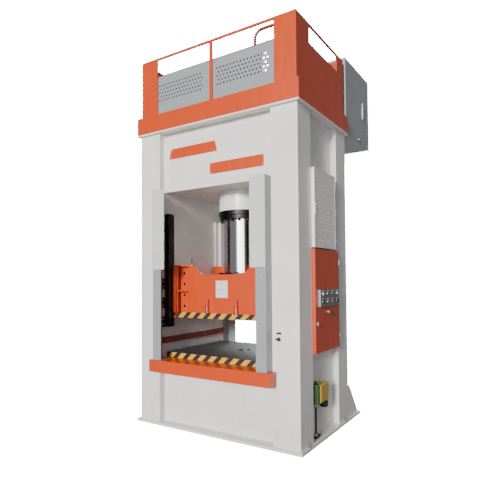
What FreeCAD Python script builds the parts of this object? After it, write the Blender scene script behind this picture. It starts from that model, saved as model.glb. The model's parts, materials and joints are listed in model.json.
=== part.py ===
import FreeCAD, Part
import os
import re
import Sketcher

# Straight-sided hydraulic press with a welded frame: base plate, two columns, crown and bed.
# A single ram drives the slide along four corner gibs; a guarded deck and an oil tank sit on top.
# +X is the side with the control cabinet, -Y the operator's side, +Z up, origin on the floor
# under the centre of the table. Millimetres.

DOC = FreeCAD.newDocument("press")
SHEET = DOC.addObject("Spreadsheet::Sheet", "sizes")

SIZES = {
    # welded frame
    "frame_width": 2600, "frame_depth": 1580, "frame_top": 4200, "column_width": 372,
    "face_recess": 105, "column_wall": 30, "web_inset": 85, "web_half": 425,
    "beam_wall": 40, "crown_bottom": 3343, "bed_top": 850,
    # floor plate and feet
    "plate_thick": 40, "plate_ledge": 40, "plate_tail": 410, "anchor_hole": 18,
    "anchor_inset": 30, "anchor_pitch": 720, "gusset_thick": 30, "gusset_height": 450,
    "gusset_top": 60, "gusset_run": 400, "gusset_flange": 160, "foot_bolt": 14, "foot_bolt_height": 45,
    # deck and guard rails
    "deck_overhang": 40, "deck_edge": 275, "deck_wall": 20, "guard_inset": 50, "guard_height": 855,
    "guard_sheet": 20, "guard_post": 310, "guard_mullion": 50, "guard_rail": 35, "guard_sill": 20,
    "side_opening": 255, "side_post_front": 375, "side_post_rear": 235, "infill_sheet": 6,
    "infill_height": 588, "hole_radius": 13, "hole_pitch": 54, "hole_rise": 55, "hole_start": 95,
    "handrail_radius": 20, "handrail_bend": 110, "handrail_along": 660, "handrail_inset": 60,
    "handrail_drop": 55,
    # oil tank
    "tank_gap": 30, "tank_depth": 1090, "tank_height": 1180, "tank_lift": 40, "tank_wall": 6,
    "lid_thick": 12, "manhole_radius": 250, "manhole_thick": 8,
    "bracket_width": 100, "bracket_height": 140, "bracket_inset": 28, "bracket_short": 60,
    # ram
    "rod_radius": 286, "barrel_wall": 64, "barrel_drop": 290, "barrel_flange": 60, "barrel_sink": 40,
    "bore_fit": 0.06, "rod_room": 320, "gland_height": 125, "gland_lip": 8, "gland_bolt": 18,
    "gland_bolt_inset": 28, "gland_bolt_head": 26, "flange_lap": 94, "flange_height": 55,
    # slide
    "slide_bottom": 1515, "shoe_reach": 50, "slide_sole": 80, "slide_height": 765,
    "slide_plate": 40, "slide_body": 585, "shoe_width": 87, "shoe_fit": 0.5, "ear_inner": 500,
    "notch_half": 350, "notch_height": 620, "ear_height": 747, "panel_half": 600, "pocket_depth": 80,
    "rib_height": 389, "rib_thick": 25, "rib_inset": 12, "lug_place": 245, "lug_width": 70,
    "lug_height": 190, "lug_thick": 45, "lug_slot": 26, "slide_bolt": 16, "slide_bolt_head": 20,
    "slide_bolt_pitch": 161, "slide_bolt_height": 166, "slide_bolt_inset": 80,
    "label_width": 200, "label_height": 236, "label_lift": 297, "label_thick": 4,
    # gibs
    "gib_lift": 359, "gib_drop": 313, "gib_width": 83, "gib_proud": 5, "gib_depth": 170,
    "gib_lip": 90, "gib_leg": 35.5,
    "gib_block_width": 48, "gib_block_deep": 50, "gib_block_tall": 150, "gib_block_pitch": 275,
    # table, sills and guard posts
    "bolster_top": 1025, "bolster_gap": 28, "bolster_inset": 15, "bolster_hole": 95,
    "sill_lap": 57, "sill_proud": 18, "sill_low": 775, "sill_high": 945, "sill_wall": 12,
    "post_width": 150, "post_depth": 187, "post_set": 45, "post_wall": 8, "post_gap": 3,
    "cover_lap": 70, "cover_thick": 15, "cover_low": 2210,
    "rail_thick": 32, "rail_low": 1150, "rail_high": 1235,
    # plates on the crown
    "badge_inset": 98, "badge_width": 865, "badge_lift": 477, "badge_height": 148, "badge_slant": 38,
    "type_width": 861, "type_inset": 157, "type_lift": 169, "type_height": 152, "name_thick": 8,
    # cabinets on the right column
    "door_proud": 41, "door_gap": 0.5, "door_thick": 19.5, "cabinet_wall": 10, "cabinet_start": -420,
    "cabinet_end": 380, "cabinet_low": 1130, "cabinet_high": 2445, "vent_end": 290, "vent_low": 2462,
    "vent_high": 3470, "vent_hole": 12, "vent_pitch": 48, "vent_start": 100,
    "panel_start": -320, "panel_end": 310, "panel_low": 1712, "panel_high": 1925, "panel_thick": 25,
    "control_first": -245, "control_pitch": 160, "control_upper": 1870, "control_lower": 1768,
    "stem_radius": 8, "stem_fit": 0.05, "stem_hole": 20, "stem_in": 11, "cap_radius": 21,
    "cap_lift": 7, "cap_height": 13, "knob_lift": 0.4, "knob_height": 24, "grip_width": 9,
    "stop_radius": 34, "stop_place": 0, "stop_height": 1630, "lamp_radius": 20,
    "lamp_height": 16, "lock_radius": 22, "lock_height": 1500, "lock_inset": 45, "lock_thick": 10,
    # lubrication unit, small switch and lifting eye
    "lube_low": 470, "lube_high": 700, "lube_start": -215, "lube_end": 55, "lube_out": 90,
    "lube_drum": 44, "lube_drum_place": -270, "lube_motor": 52, "lube_motor_drop": 56,
    "hose_radius": 13, "hose_bottom": 75, "hose_elbow": 90,
    "switch_inset": 278, "switch_up": 1338, "switch_radius": 26, "switch_thick": 12,
    "knob_reach": 40, "eye_up": 3740, "eye_inset": 90, "eye_radius": 42, "eye_bore": 20, "eye_thick": 26,
    "eye_reach": 45,
}

# Sizes that follow from the ones above.
DERIVED = {
    "gib_inner": "frame_width / 2 - column_width - gib_width",
    "gib_front": "frame_depth / 2 - face_recess + gib_proud",
    "gib_back": "gib_front - gib_depth",
    "gib_face": "gib_front - gib_lip",
    "gib_low": "bolster_top + gib_lift",
    "gib_high": "crown_bottom - gib_drop",
    "slide_side": "frame_width / 2 - column_width - gib_leg - shoe_fit",
    "slide_face": "gib_face - shoe_reach",
    "slide_top": "slide_bottom + slide_height",
    "slide_crown": "slide_bottom + slide_body",
    "notch_level": "slide_bottom + notch_height",
    "ear_level": "slide_bottom + ear_height",
    "pocket_rib": "slide_bottom + rib_height",
    "slide_bolt_low": "slide_bottom + slide_bolt_height",
    "slide_bolt_place": "slide_side - shoe_width - slide_bolt_inset",
    "label_low": "slide_bottom + label_lift",
    "bolster_side": "frame_width / 2 - column_width - bolster_gap",
    "bolster_face": "frame_depth / 2 - face_recess - bolster_inset",
    "sill_half": "frame_width / 2 - column_width + sill_lap",
    "post_back": "frame_depth / 2 - post_set",
    "post_front": "post_back + post_depth",
    "post_inner": "frame_width / 2 - column_width - post_width",
    "sill_front": "post_front + sill_proud",
    "cover_inner": "post_inner - cover_lap",
    "cover_front": "post_front + cover_thick",
    "barrel_radius": "rod_radius + barrel_wall",
    "barrel_bottom": "crown_bottom - barrel_drop",
    "barrel_top": "frame_top - barrel_sink",
    "rod_top": "barrel_top - barrel_flange - rod_room",
    "gland_bolt_ring": "barrel_radius - gland_bolt_inset",
    "flange_radius": "rod_radius + flange_lap",
    "guard_top": "frame_top + deck_edge + guard_height",
    "side_panel_top": "guard_top - side_opening",
    "infill_top": "frame_top + deck_edge + infill_height",
    "handrail_height": "guard_top - handrail_drop",
    "badge_left": "badge_inset + column_width - frame_width / 2",
    "badge_right": "badge_left + badge_width",
    "badge_low": "crown_bottom + badge_lift",
    "badge_high": "badge_low + badge_height",
    "type_right": "frame_width / 2 - column_width - type_inset",
    "type_left": "type_right - type_width",
    "type_low": "crown_bottom + type_lift",
    "type_high": "type_low + type_height",
    "door_face": "frame_width / 2 + door_proud",
    "box_front": "door_face - door_thick - door_gap",
    "switch_across": "frame_width / 2 - switch_inset",
    "eye_place": "eye_inset - frame_depth / 2",
}


def fill_sheet():
    rows = [(alias, str(number)) for alias, number in SIZES.items()]
    rows += [(alias, "=" + words) for alias, words in DERIVED.items()]
    for row, (alias, content) in enumerate(rows, start=1):
        SHEET.set("A%d" % row, alias.replace("_", " "))
        SHEET.setAlias("B%d" % row, alias)
        SHEET.set("B%d" % row, content)
    DOC.recompute()


def bound(words):
    """Turns 'frame_width / 2' into an expression that reads the sheet."""
    return re.sub(r"[a-z][a-z_]*[a-z]", lambda found: "sizes." + found.group(0), str(words))


def worth(words):
    """The number that an expression has now, for a sketch's first guess."""
    return float(SHEET.evalExpression(bound(words)))


def tie(thing, path, words):
    thing.setExpression(path, bound(words))


def place(thing, at):
    for axis, words in zip("xyz", at):
        tie(thing, "Placement.Base." + axis, words)


def turn(thing, axis, degrees):
    thing.Placement = FreeCAD.Placement(thing.Placement.Base,
                                        FreeCAD.Rotation(FreeCAD.Vector(*axis), degrees))


def span(side, low, high):
    """A stretch along X or Y on the plus side, or its mirror image on the minus side."""
    if side > 0:
        return low, high
    return "-(%s)" % high, "-(%s)" % low


def block(name, x, y, z):
    """A box from the low to the high end of each of three stretches."""
    made = DOC.addObject("Part::Box", name)
    made.Label = name
    for size, (low, high) in zip(("Length", "Width", "Height"), (x, y, z)):
        tie(made, size, "(%s) - (%s)" % (high, low))
    place(made, (x[0], y[0], z[0]))
    return made


def drum(name, centre, radius, length, axis="z"):
    """A cylinder that starts at its centre point and runs along +X, -Y or +Z."""
    made = DOC.addObject("Part::Cylinder", name)
    made.Label = name
    tie(made, "Radius", radius)
    tie(made, "Height", length)
    if axis == "x":
        turn(made, (0, 1, 0), 90)
    if axis == "-y":
        turn(made, (1, 0, 0), 90)
    place(made, centre)
    return made


def join(name, pieces):
    made = DOC.addObject("Part::MultiFuse", name)
    made.Label = name
    made.Shapes = pieces
    made.Refine = True
    return made


def group(name, pieces):
    """Separate solids that share one node."""
    made = DOC.addObject("Part::Compound", name)
    made.Label = name
    made.Links = pieces
    return made


def cut(name, base, tools):
    made = DOC.addObject("Part::Cut", name)
    made.Label = name
    made.Base = base
    made.Tool = tools[0] if len(tools) == 1 else join(name + "_tools", tools)
    return made


def new_body(name, at=("0", "0", "0")):
    made = DOC.addObject("PartDesign::Body", name)
    made.Label = name
    place(made, at)
    return made


def new_sketch(body, name, role):
    sketch = body.newObject("Sketcher::SketchObject", name)
    plane = [feature for feature in body.Origin.OriginFeatures if feature.Role == role][0]
    sketch.AttachmentSupport = (plane, [""])
    sketch.MapMode = "FlatFace"
    return sketch


def outline(sketch, corners):
    """A closed loop of straight edges whose corners are tied to the sheet."""
    first = sketch.GeometryCount
    count = len(corners)
    points = [FreeCAD.Vector(worth(across), worth(up), 0) for across, up in corners]
    for index, start in enumerate(points):
        sketch.addGeometry(Part.LineSegment(start, points[(index + 1) % count]))
    for index in range(count):
        after = first + (index + 1) % count
        sketch.addConstraint(Sketcher.Constraint("Coincident", first + index, 2, after, 1))
    for index, corner in enumerate(corners):
        for kind, words, number in zip(("DistanceX", "DistanceY"), corner, points[index]):
            made = sketch.addConstraint(Sketcher.Constraint(kind, -1, 1, first + index, 1, number))
            sketch.setExpression("Constraints[%d]" % made, bound(words))


def rectangle(sketch, low, high):
    outline(sketch, [(low[0], low[1]), (high[0], low[1]), (high[0], high[1]), (low[0], high[1])])


def circle(sketch, centre, radius):
    number = sketch.addGeometry(Part.Circle(
        FreeCAD.Vector(worth(centre[0]), worth(centre[1]), 0), FreeCAD.Vector(0, 0, 1), worth(radius)))
    for kind, words in zip(("DistanceX", "DistanceY"), centre):
        made = sketch.addConstraint(Sketcher.Constraint(kind, -1, 1, number, 3, worth(words)))
        sketch.setExpression("Constraints[%d]" % made, bound(words))
    made = sketch.addConstraint(Sketcher.Constraint("Radius", number, worth(radius)))
    sketch.setExpression("Constraints[%d]" % made, bound(radius))


def pad(body, sketch, length, backwards=False):
    made = body.newObject("PartDesign::Pad", sketch.Name + "_pad")
    made.Profile = sketch
    made.Reversed = backwards
    tie(made, "Length", length)
    DOC.recompute()
    return made


def pocket(body, sketch, length, backwards=False):
    before = body.Shape.Volume
    made = body.newObject("PartDesign::Pocket", sketch.Name + "_pocket")
    made.Profile = sketch
    made.Reversed = backwards
    tie(made, "Length", length)
    DOC.recompute()
    if body.Shape.Volume >= before:
        raise RuntimeError(sketch.Name + " cuts nothing")
    return made


def turned(name, profile, at=("0", "0", "0")):
    """A turned piece: its half section, radius across and height up, swung round the Z axis."""
    body = new_body(name, at)
    sketch = new_sketch(body, name + "_section", "XZ_Plane")
    outline(sketch, profile)
    made = body.newObject("PartDesign::Revolution", name + "_turned")
    made.Profile = sketch
    made.ReferenceAxis = (sketch, ["V_Axis"])
    made.Angle = 360
    DOC.recompute()
    return body


def grid(body, feature, name, steps):
    """Repeats a pocket along one or two body axes; each step is (axis role, span, count)."""
    multi = body.newObject("PartDesign::MultiTransform", name)
    multi.Originals = [feature]
    rows = []
    for number, (role, reach, count) in enumerate(steps):
        axis = [item for item in body.Origin.OriginFeatures if item.Role == role][0]
        row = DOC.addObject("PartDesign::LinearPattern", "%s_%d" % (name, number))
        body.addObject(row)
        row.Direction = (axis, [""])
        tie(row, "Length", reach)
        row.Occurrences = count
        rows.append(row)
    multi.Transformations = rows
    body.Tip = multi
    DOC.recompute()
    return multi


HALF_WIDTH = "frame_width / 2"
HALF_DEPTH = "frame_depth / 2"
BAY = "(frame_width / 2 - column_width)"
BEAM_FACE = "(frame_depth / 2 - face_recess)"
WEB = "(frame_width / 2 - web_inset)"
DECK_SIDE = "(frame_width / 2 + deck_overhang)"
DECK_FACE = "(frame_depth / 2 + deck_overhang)"
DECK_TOP = "(frame_top + deck_edge)"
GUARD_SIDE = "(frame_width / 2 + deck_overhang - guard_inset)"
GUARD_FACE = "(frame_depth / 2 + deck_overhang - guard_inset)"
TANK_LOW = "(frame_top + tank_lift)"
TANK_FRONT = "(frame_depth / 2 + deck_overhang + tank_gap)"
SIDES = (("left", -1), ("right", 1))
ENDS = (("front", -1), ("rear", 1))


# --- welded frame ---

def base_plate():
    body = new_body("base_plate")
    sketch = new_sketch(body, "base_outline", "XY_Plane")
    side = "(%s + plate_ledge)" % HALF_WIDTH
    front = "(%s + plate_ledge)" % HALF_DEPTH
    rectangle(sketch, ("-" + side, "-" + front), (side, "%s + plate_tail" % HALF_DEPTH))
    for across in ("(%s - anchor_inset)", "-(%s - anchor_inset)"):
        for along in ("anchor_pitch / 2", "-anchor_pitch / 2"):
            circle(sketch, (across % HALF_WIDTH, along), "anchor_hole")
    pad(body, sketch, "plate_thick")
    return body


def column(label, side):
    """A welded box column: front and rear flanges stand out from a set-back web on its outer side."""
    body = new_body("column_" + label, ("0", "0", "plate_thick"))
    sketch = new_sketch(body, "column_section_" + label, "XY_Plane")
    sign = "" if side > 0 else "-"

    def ring(inner, outer, face, web, half):
        corners = [(inner, "-" + face), (outer, "-" + face), (outer, "-" + half), (web, "-" + half),
                   (web, half), (outer, half), (outer, face), (inner, face)]
        outline(sketch, [(sign + across, up) for across, up in corners])

    ring(BAY, "(%s)" % HALF_WIDTH, "(%s)" % HALF_DEPTH, WEB, "web_half")
    wall = "column_wall"
    ring("(%s + %s)" % (BAY, wall), "(%s - %s)" % (HALF_WIDTH, wall), "(%s - %s)" % (HALF_DEPTH, wall),
         "(%s - %s)" % (WEB, wall), "(web_half + %s)" % wall)
    pad(body, sketch, "frame_top - plate_thick")
    return body


def crown():
    """The upper beam, an open-topped welded box with a bore for the cylinder in its floor."""
    outer = block("crown_outer", ("-" + BAY, BAY), ("-" + BEAM_FACE, BEAM_FACE),
                  ("crown_bottom", "frame_top"))
    inner_side = "(%s - beam_wall)" % BAY
    inner_face = "(%s - beam_wall)" % BEAM_FACE
    inner = block("crown_inner", ("-" + inner_side, inner_side), ("-" + inner_face, inner_face),
                  ("crown_bottom + beam_wall", "frame_top + beam_wall"))
    bore = drum("crown_bore", ("0", "0", "crown_bottom - beam_wall"), "barrel_radius + shoe_fit",
                "3 * beam_wall")
    return cut("crown", outer, [inner, bore])


def bed():
    """The lower beam, a welded box closed by the floor plate below."""
    outer = block("bed_outer", ("-" + BAY, BAY), ("-" + BEAM_FACE, BEAM_FACE), ("plate_thick", "bed_top"))
    inner_side = "(%s - beam_wall)" % BAY
    inner_face = "(%s - beam_wall)" % BEAM_FACE
    inner = block("bed_inner", ("-" + inner_side, inner_side), ("-" + inner_face, inner_face),
                  ("plate_thick - beam_wall", "bed_top - beam_wall"))
    return cut("bed", outer, [inner])


def foot_gussets():
    """Two rear feet: a triangular web with a sloping flange plate on its outer edge."""
    pieces = []
    for label, side in SIDES:
        start = HALF_DEPTH
        body = new_body("gusset_" + label, (HALF_WIDTH if side > 0 else "-" + HALF_WIDTH, "0", "0"))
        web = new_sketch(body, "gusset_web_" + label, "YZ_Plane")
        top = "(plate_thick + gusset_height)"
        outline(web, [(start, "plate_thick"), ("%s + gusset_run" % start, "plate_thick"),
                      ("%s + gusset_top" % start, top), (start, top)])
        pad(body, web, "gusset_thick", backwards=side > 0)
        flange = new_sketch(body, "gusset_flange_" + label, "YZ_Plane")
        outline(flange, [("%s + gusset_run - gusset_thick" % start, "plate_thick"),
                         ("%s + gusset_run" % start, "plate_thick"),
                         ("%s + gusset_top" % start, top),
                         ("%s + gusset_top - gusset_thick" % start, top)])
        pad(body, flange, "gusset_flange", backwards=side > 0)
        pieces.append(body)
    return group("foot_gussets", pieces)


def anchor_bolts():
    """Levelling screws on the plate's side ledge, a nut round each."""
    pieces = []
    for label, side in SIDES:
        for end, way in ENDS:
            along = "%d * (web_half + %s) / 2" % (way, HALF_DEPTH)
            across = "(%s + plate_ledge / 2 + 1)" % HALF_WIDTH
            if side < 0:
                across = "-" + across
            name = "foot_%s_%s" % (label, end)
            nut = DOC.addObject("Part::Prism", name + "_nut")
            nut.Polygon = 6
            tie(nut, "Circumradius", "foot_bolt + 4")
            tie(nut, "Height", "foot_bolt")
            place(nut, (across, along, "plate_thick"))
            stud = drum(name + "_stud", (across, along, "plate_thick"), "foot_bolt - 4", "foot_bolt_height")
            pieces.append(join(name, [nut, stud]))
    return group("anchor_bolts", pieces)


# --- deck, guard rails and tank ---

def deck():
    """A shallow steel tray over the whole frame, its raised edge a toe board."""
    outer = block("deck_outer", ("-" + DECK_SIDE, DECK_SIDE), ("-" + DECK_FACE, DECK_FACE),
                  ("frame_top", DECK_TOP))
    side = "(%s - deck_wall)" % DECK_SIDE
    face = "(%s - deck_wall)" % DECK_FACE
    inner = block("deck_inner", ("-" + side, side), ("-" + face, face),
                  ("frame_top + deck_wall", "%s + deck_wall" % DECK_TOP))
    rim = "(%s - guard_inset - guard_sheet)"
    shelf = block("deck_shelf", ("-" + DECK_SIDE, DECK_SIDE), ("-" + DECK_FACE, DECK_FACE),
                  ("%s - deck_wall" % DECK_TOP, DECK_TOP))
    hollow = block("deck_hollow", ("-" + rim % DECK_SIDE, rim % DECK_SIDE),
                   ("-" + rim % DECK_FACE, rim % DECK_FACE),
                   ("%s - 2 * deck_wall" % DECK_TOP, "%s + deck_wall" % DECK_TOP))
    return join("deck", [cut("deck_tray", outer, [inner]), cut("deck_rim", shelf, [hollow])])


def guard_front():
    """Wide corner posts, a top rail and a middle post round two windows."""
    body = new_body("guard_front", ("0", "-(%s - guard_sheet)" % GUARD_FACE, "0"))
    sketch = new_sketch(body, "guard_front_outline", "XZ_Plane")
    rectangle(sketch, ("-" + GUARD_SIDE, DECK_TOP), (GUARD_SIDE, "guard_top"))
    far = "(%s - guard_post)" % GUARD_SIDE
    low = "%s + guard_sill" % DECK_TOP
    rectangle(sketch, ("guard_mullion / 2", low), (far, "guard_top - guard_rail"))
    rectangle(sketch, ("-" + far, low), ("-guard_mullion / 2", "guard_top - guard_rail"))
    pad(body, sketch, "guard_sheet")
    return body


def guard_side(label, side):
    """A plate between the front and rear guards, cut away under its top rail."""
    across = GUARD_SIDE if side > 0 else "-" + GUARD_SIDE
    body = new_body("guard_" + label, (across, "0", "0"))
    sketch = new_sketch(body, "guard_outline_" + label, "YZ_Plane")
    near = "(%s - guard_sheet)" % GUARD_FACE
    rectangle(sketch, ("-" + near, DECK_TOP), (near, "guard_top"))
    rectangle(sketch, ("-(%s - side_post_front)" % GUARD_FACE, "side_panel_top"),
              ("%s - side_post_rear" % GUARD_FACE, "guard_top - guard_rail"))
    pad(body, sketch, "guard_sheet", backwards=side > 0)
    return body


def guard_rear():
    body = new_body("guard_rear", ("0", GUARD_FACE, "0"))
    sketch = new_sketch(body, "guard_rear_outline", "XZ_Plane")
    rectangle(sketch, ("-" + GUARD_SIDE, DECK_TOP), (GUARD_SIDE, "guard_top"))
    far = "(%s - guard_post)" % GUARD_SIDE
    rectangle(sketch, ("-" + far, "side_panel_top"), (far, "guard_top - guard_rail"))
    pad(body, sketch, "guard_sheet")
    return body


def infill(label, side):
    """A grey sheet behind each front window, with staggered rows of round holes."""
    plane = "-(%s - guard_sheet - infill_sheet)" % GUARD_FACE
    body = new_body("infill_" + label, ("0", plane, "0"))
    sketch = new_sketch(body, "infill_outline_" + label, "XZ_Plane")
    near = "1"
    far = "(%s - guard_post + 20)" % GUARD_SIDE
    low, high = span(side, near, far)
    rectangle(sketch, (low, DECK_TOP), (high, "infill_top"))
    pad(body, sketch, "infill_sheet")
    for row, shift in enumerate(("0", "hole_pitch / 2")):
        holes = new_sketch(body, "infill_hole_%s_%d" % (label, row), "XZ_Plane")
        start = "hole_start" if side > 0 else "-(%s - hole_start / 2)" % far
        across = "%s + %s" % (start, shift)
        circle(holes, (across, "%s + 4 * hole_rise + %d * hole_rise" % (DECK_TOP, row)), "hole_radius")
        first = pocket(body, holes, "infill_sheet", backwards=True)
        grid(body, first, "infill_grid_%s_%d" % (label, row),
             (("X_Axis", "14 * hole_pitch", 15), ("Z_Axis", "%d * hole_rise" % (4 - 2 * row), 3 - row)))
    return body


def oil_tank():
    """A welded sheet tank behind the deck, open at the top until its lid is on."""
    high = "(%s + tank_height - lid_thick - manhole_thick)" % TANK_LOW
    back = "(%s + tank_depth)" % TANK_FRONT
    outer = block("tank_outer", ("-" + HALF_WIDTH, HALF_WIDTH), (TANK_FRONT, back), (TANK_LOW, high))
    inner = block("tank_inner", ("-(%s - tank_wall)" % HALF_WIDTH, "%s - tank_wall" % HALF_WIDTH),
                  ("%s + tank_wall" % TANK_FRONT, "%s - tank_wall" % back),
                  ("%s + tank_wall" % TANK_LOW, "%s + tank_wall" % high))
    return cut("oil_tank", outer, [inner])


def tank_lid():
    """The tank's lid plate with a round manhole cover in its middle."""
    top = "(%s + tank_height - manhole_thick)" % TANK_LOW
    plate = block("lid_plate", ("-" + HALF_WIDTH, HALF_WIDTH), (TANK_FRONT, "%s + tank_depth" % TANK_FRONT),
                  (top + " - lid_thick", top))
    cap = drum("lid_manhole", ("0", "%s + tank_depth / 2" % TANK_FRONT, top + " - 1"), "manhole_radius",
               "manhole_thick + 1")
    return join("tank_lid", [plate, cap])


def tank_brackets():
    """Two beams from the crown's rear face out under the tank."""
    pieces = []
    for label, side in SIDES:
        inner = "(%s - bracket_inset - bracket_width)" % BAY
        across = span(side, inner, "%s - bracket_inset" % BAY)
        back = "%s + tank_depth - bracket_short" % TANK_FRONT
        beam = block("bracket_beam_" + label, across, (BEAM_FACE, back),
                     ("frame_top - bracket_height", "frame_top"))
        riser = block("bracket_riser_" + label, across, ("%s + 5" % TANK_FRONT, back),
                      ("frame_top", TANK_LOW))
        pieces.append(join("bracket_" + label, [beam, riser]))
    return group("tank_brackets", pieces)


def handrail():
    """A bent tube from the deck floor to the right guard."""
    along = "-(%s - guard_sheet - handrail_inset)" % GUARD_FACE
    straight = "handrail_height - handrail_bend - frame_top - deck_wall"
    upright = drum("handrail_upright", ("handrail_along", along, "frame_top + deck_wall"),
                   "handrail_radius", straight)
    bend = DOC.addObject("Part::Torus", "handrail_bend_piece")
    tie(bend, "Radius1", "handrail_bend")
    tie(bend, "Radius2", "handrail_radius")
    bend.Angle3 = 90
    turn(bend, (0, 1, 1), 180)
    place(bend, ("handrail_along + handrail_bend", along, "handrail_height - handrail_bend"))
    top = drum("handrail_top", ("handrail_along + handrail_bend", along, "handrail_height"),
               "handrail_radius",
               "%s - guard_sheet - handrail_along - handrail_bend" % GUARD_SIDE, axis="x")
    return join("handrail", [upright, bend, top])


# --- ram ---

def barrel():
    """The cylinder: a thick tube with a closed head and a flange that seats on the crown's floor."""
    inner = "rod_radius + bore_fit"
    flange = "(crown_bottom + beam_wall)"
    return turned("barrel", [
        (inner, "barrel_bottom"), ("barrel_radius", "barrel_bottom"), ("barrel_radius", flange),
        ("barrel_radius + barrel_flange", flange), ("barrel_radius + barrel_flange",
                                                    flange + " + barrel_flange"),
        ("barrel_radius", flange + " + barrel_flange"), ("barrel_radius", "barrel_top"), ("0",
                                                                                          "barrel_top"),
        ("0", "barrel_top - barrel_flange"), (inner, "barrel_top - barrel_flange")])


def gland_ring():
    """The seal retainer under the cylinder, with a ring of bolt heads below."""
    low = "(barrel_bottom - gland_height)"
    body = turned("gland_ring", [
        ("rod_radius + bore_fit", low), ("barrel_radius - gland_lip", low),
        ("barrel_radius - gland_lip", low + " + gland_height / 2"),
        ("barrel_radius + gland_lip", low + " + gland_height / 2"),
        ("barrel_radius + gland_lip", "barrel_bottom"), ("rod_radius + bore_fit", "barrel_bottom")])
    sketch = new_sketch(body, "gland_bolt_head_sketch", "XY_Plane")
    tie(sketch, "AttachmentOffset.Base.z", low)
    circle(sketch, ("gland_bolt_ring", "0"), "gland_bolt")
    head = pad(body, sketch, "gland_bolt_head", backwards=True)
    pattern = body.newObject("PartDesign::PolarPattern", "gland_bolts")
    pattern.Originals = [head]
    axis = [item for item in body.Origin.OriginFeatures if item.Role == "Z_Axis"][0]
    pattern.Axis = (axis, [""])
    pattern.Angle = 360
    pattern.Occurrences = 16
    body.Tip = pattern
    DOC.recompute()
    return body


def rod():
    return turned("rod", [
        ("0", "slide_crown"), ("rod_radius - 12", "slide_crown"), ("rod_radius", "slide_crown + 12"),
        ("rod_radius", "rod_top - 12"), ("rod_radius - 12", "rod_top"), ("0", "rod_top")])


def rod_flange():
    """The clamp ring that holds the ram down on the slide."""
    inner = "rod_radius + 1"
    return turned("rod_flange", [
        (inner, "slide_crown"), ("flange_radius", "slide_crown"), ("flange_radius",
                                                                   "slide_crown + flange_height - 8"),
        ("flange_radius - 8", "slide_crown + flange_height"), (inner, "slide_crown + flange_height")])


# --- slide ---

def shoe(name, side, way):
    """A corner guide shoe that runs just behind its gib."""
    return block("slide_shoe_" + name, span(side, "slide_side - shoe_width", "slide_side"),
                 span(way, "slide_face - slide_plate", "gib_face - shoe_fit"), ("slide_bottom",
                                                                                "slide_top"))


def lug(label, side):
    """A die-clamp lug on the slide's front, with a slot for the clamp bolt."""
    across = span(side, "lug_place - lug_width / 2", "lug_place + lug_width / 2")
    slot = span(side, "lug_place - lug_slot / 2", "lug_place + lug_slot / 2")
    low = "slide_bottom + slide_sole"
    base = block("lug_block_" + label, across, ("-(slide_face + lug_thick)", "-slide_face"),
                 (low, low + " + lug_height"))
    gap = block("lug_slot_" + label, slot, ("-(slide_face + lug_thick + 1)",
                                            "-(slide_face + lug_thick / 3)"),
                (low + " - 1", low + " + lug_height * 0.6"))
    return cut("lug_" + label, base, [gap])


def slide():
    """A welded ram beam: sole plate, notched front and rear plates, corner shoes and bolting pockets."""
    low = "slide_bottom + slide_sole"
    pieces = [block("slide_sole_plate", ("-slide_side", "slide_side"), ("-slide_face", "slide_face"),
                    ("slide_bottom", low))]
    for end, way in ENDS:
        plane = "-(slide_face - slide_plate)" if way < 0 else "slide_face"
        body = new_body("slide_plate_" + end, ("0", plane, "0"))
        sketch = new_sketch(body, "slide_outline_" + end, "XZ_Plane")
        outline(sketch, [("-panel_half", low), ("panel_half", low), ("panel_half", "ear_level"),
                         ("ear_inner", "ear_level"), ("notch_half", "notch_level"),
                         ("-notch_half", "notch_level"), ("-ear_inner", "ear_level"), ("-panel_half", "ear_level")])
        pad(body, sketch, "slide_plate")
        pieces.append(body)
        for label, side in SIDES:
            name = "%s_%s" % (end, label)
            pieces.append(shoe(name, side, way))
            across = span(side, "panel_half - slide_plate", "slide_side")
            back = "(slide_face - pocket_depth)"
            pieces.append(block("slide_pocket_" + name, across, span(way, back + " - slide_plate", back),
                                (low, "slide_top")))
            for rib, level in (("top", "slide_top - rib_thick"), ("mid", "pocket_rib - rib_thick / 2")):
                pieces.append(block("slide_rib_%s_%s" % (rib, name), across,
                                    span(way, back, "slide_face - rib_inset"), (level,
                                                                                level + " + rib_thick")))
            pieces.append(block("slide_cheek_" + name, span(side, "panel_half - slide_plate", "panel_half"),
                                span(way, back, "slide_face"), (low, "ear_level")))
    for label, side in SIDES:
        pieces.append(block("slide_end_" + label, span(side, "slide_side - slide_plate", "slide_side"),
                            ("-slide_face", "slide_face"), ("slide_bottom", "slide_crown")))
        pieces.append(block("slide_web_" + label, span(side, "panel_half - slide_plate", "panel_half"),
                            ("-slide_face", "slide_face"), ("slide_bottom", "slide_crown")))
        pieces.append(lug(label, side))
    inside = "(slide_face - pocket_depth - slide_plate / 2)"
    pieces.append(block("slide_deck", ("-slide_side", "slide_side"), ("-" + inside, inside),
                        ("slide_crown - slide_plate", "slide_crown")))
    pieces.append(block("slide_deck_middle", ("-(panel_half - slide_plate / 2)", "panel_half - slide_plate / 2"),
                        ("-(slide_face - 1)", "slide_face - 1"),
                        ("slide_crown - slide_plate", "slide_crown")))
    return join("slide", pieces)


def slide_bolts():
    """Cap screws in the pockets that hold the guide shoes."""
    heads = []
    for end, way in ENDS:
        for label, side in SIDES:
            across = "slide_bolt_place" if side > 0 else "-slide_bolt_place"
            plane = "(slide_face - pocket_depth)"
            start = "-" + plane if way < 0 else "%s + slide_bolt_head" % plane
            for row in range(4):
                level = "slide_bolt_low + %d * slide_bolt_pitch" % row
                heads.append(drum("slide_bolt_%s_%s_%d" % (end, label, row), (across, start, level),
                                  "slide_bolt", "slide_bolt_head", axis="-y"))
    return group("slide_bolts", heads)


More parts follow.
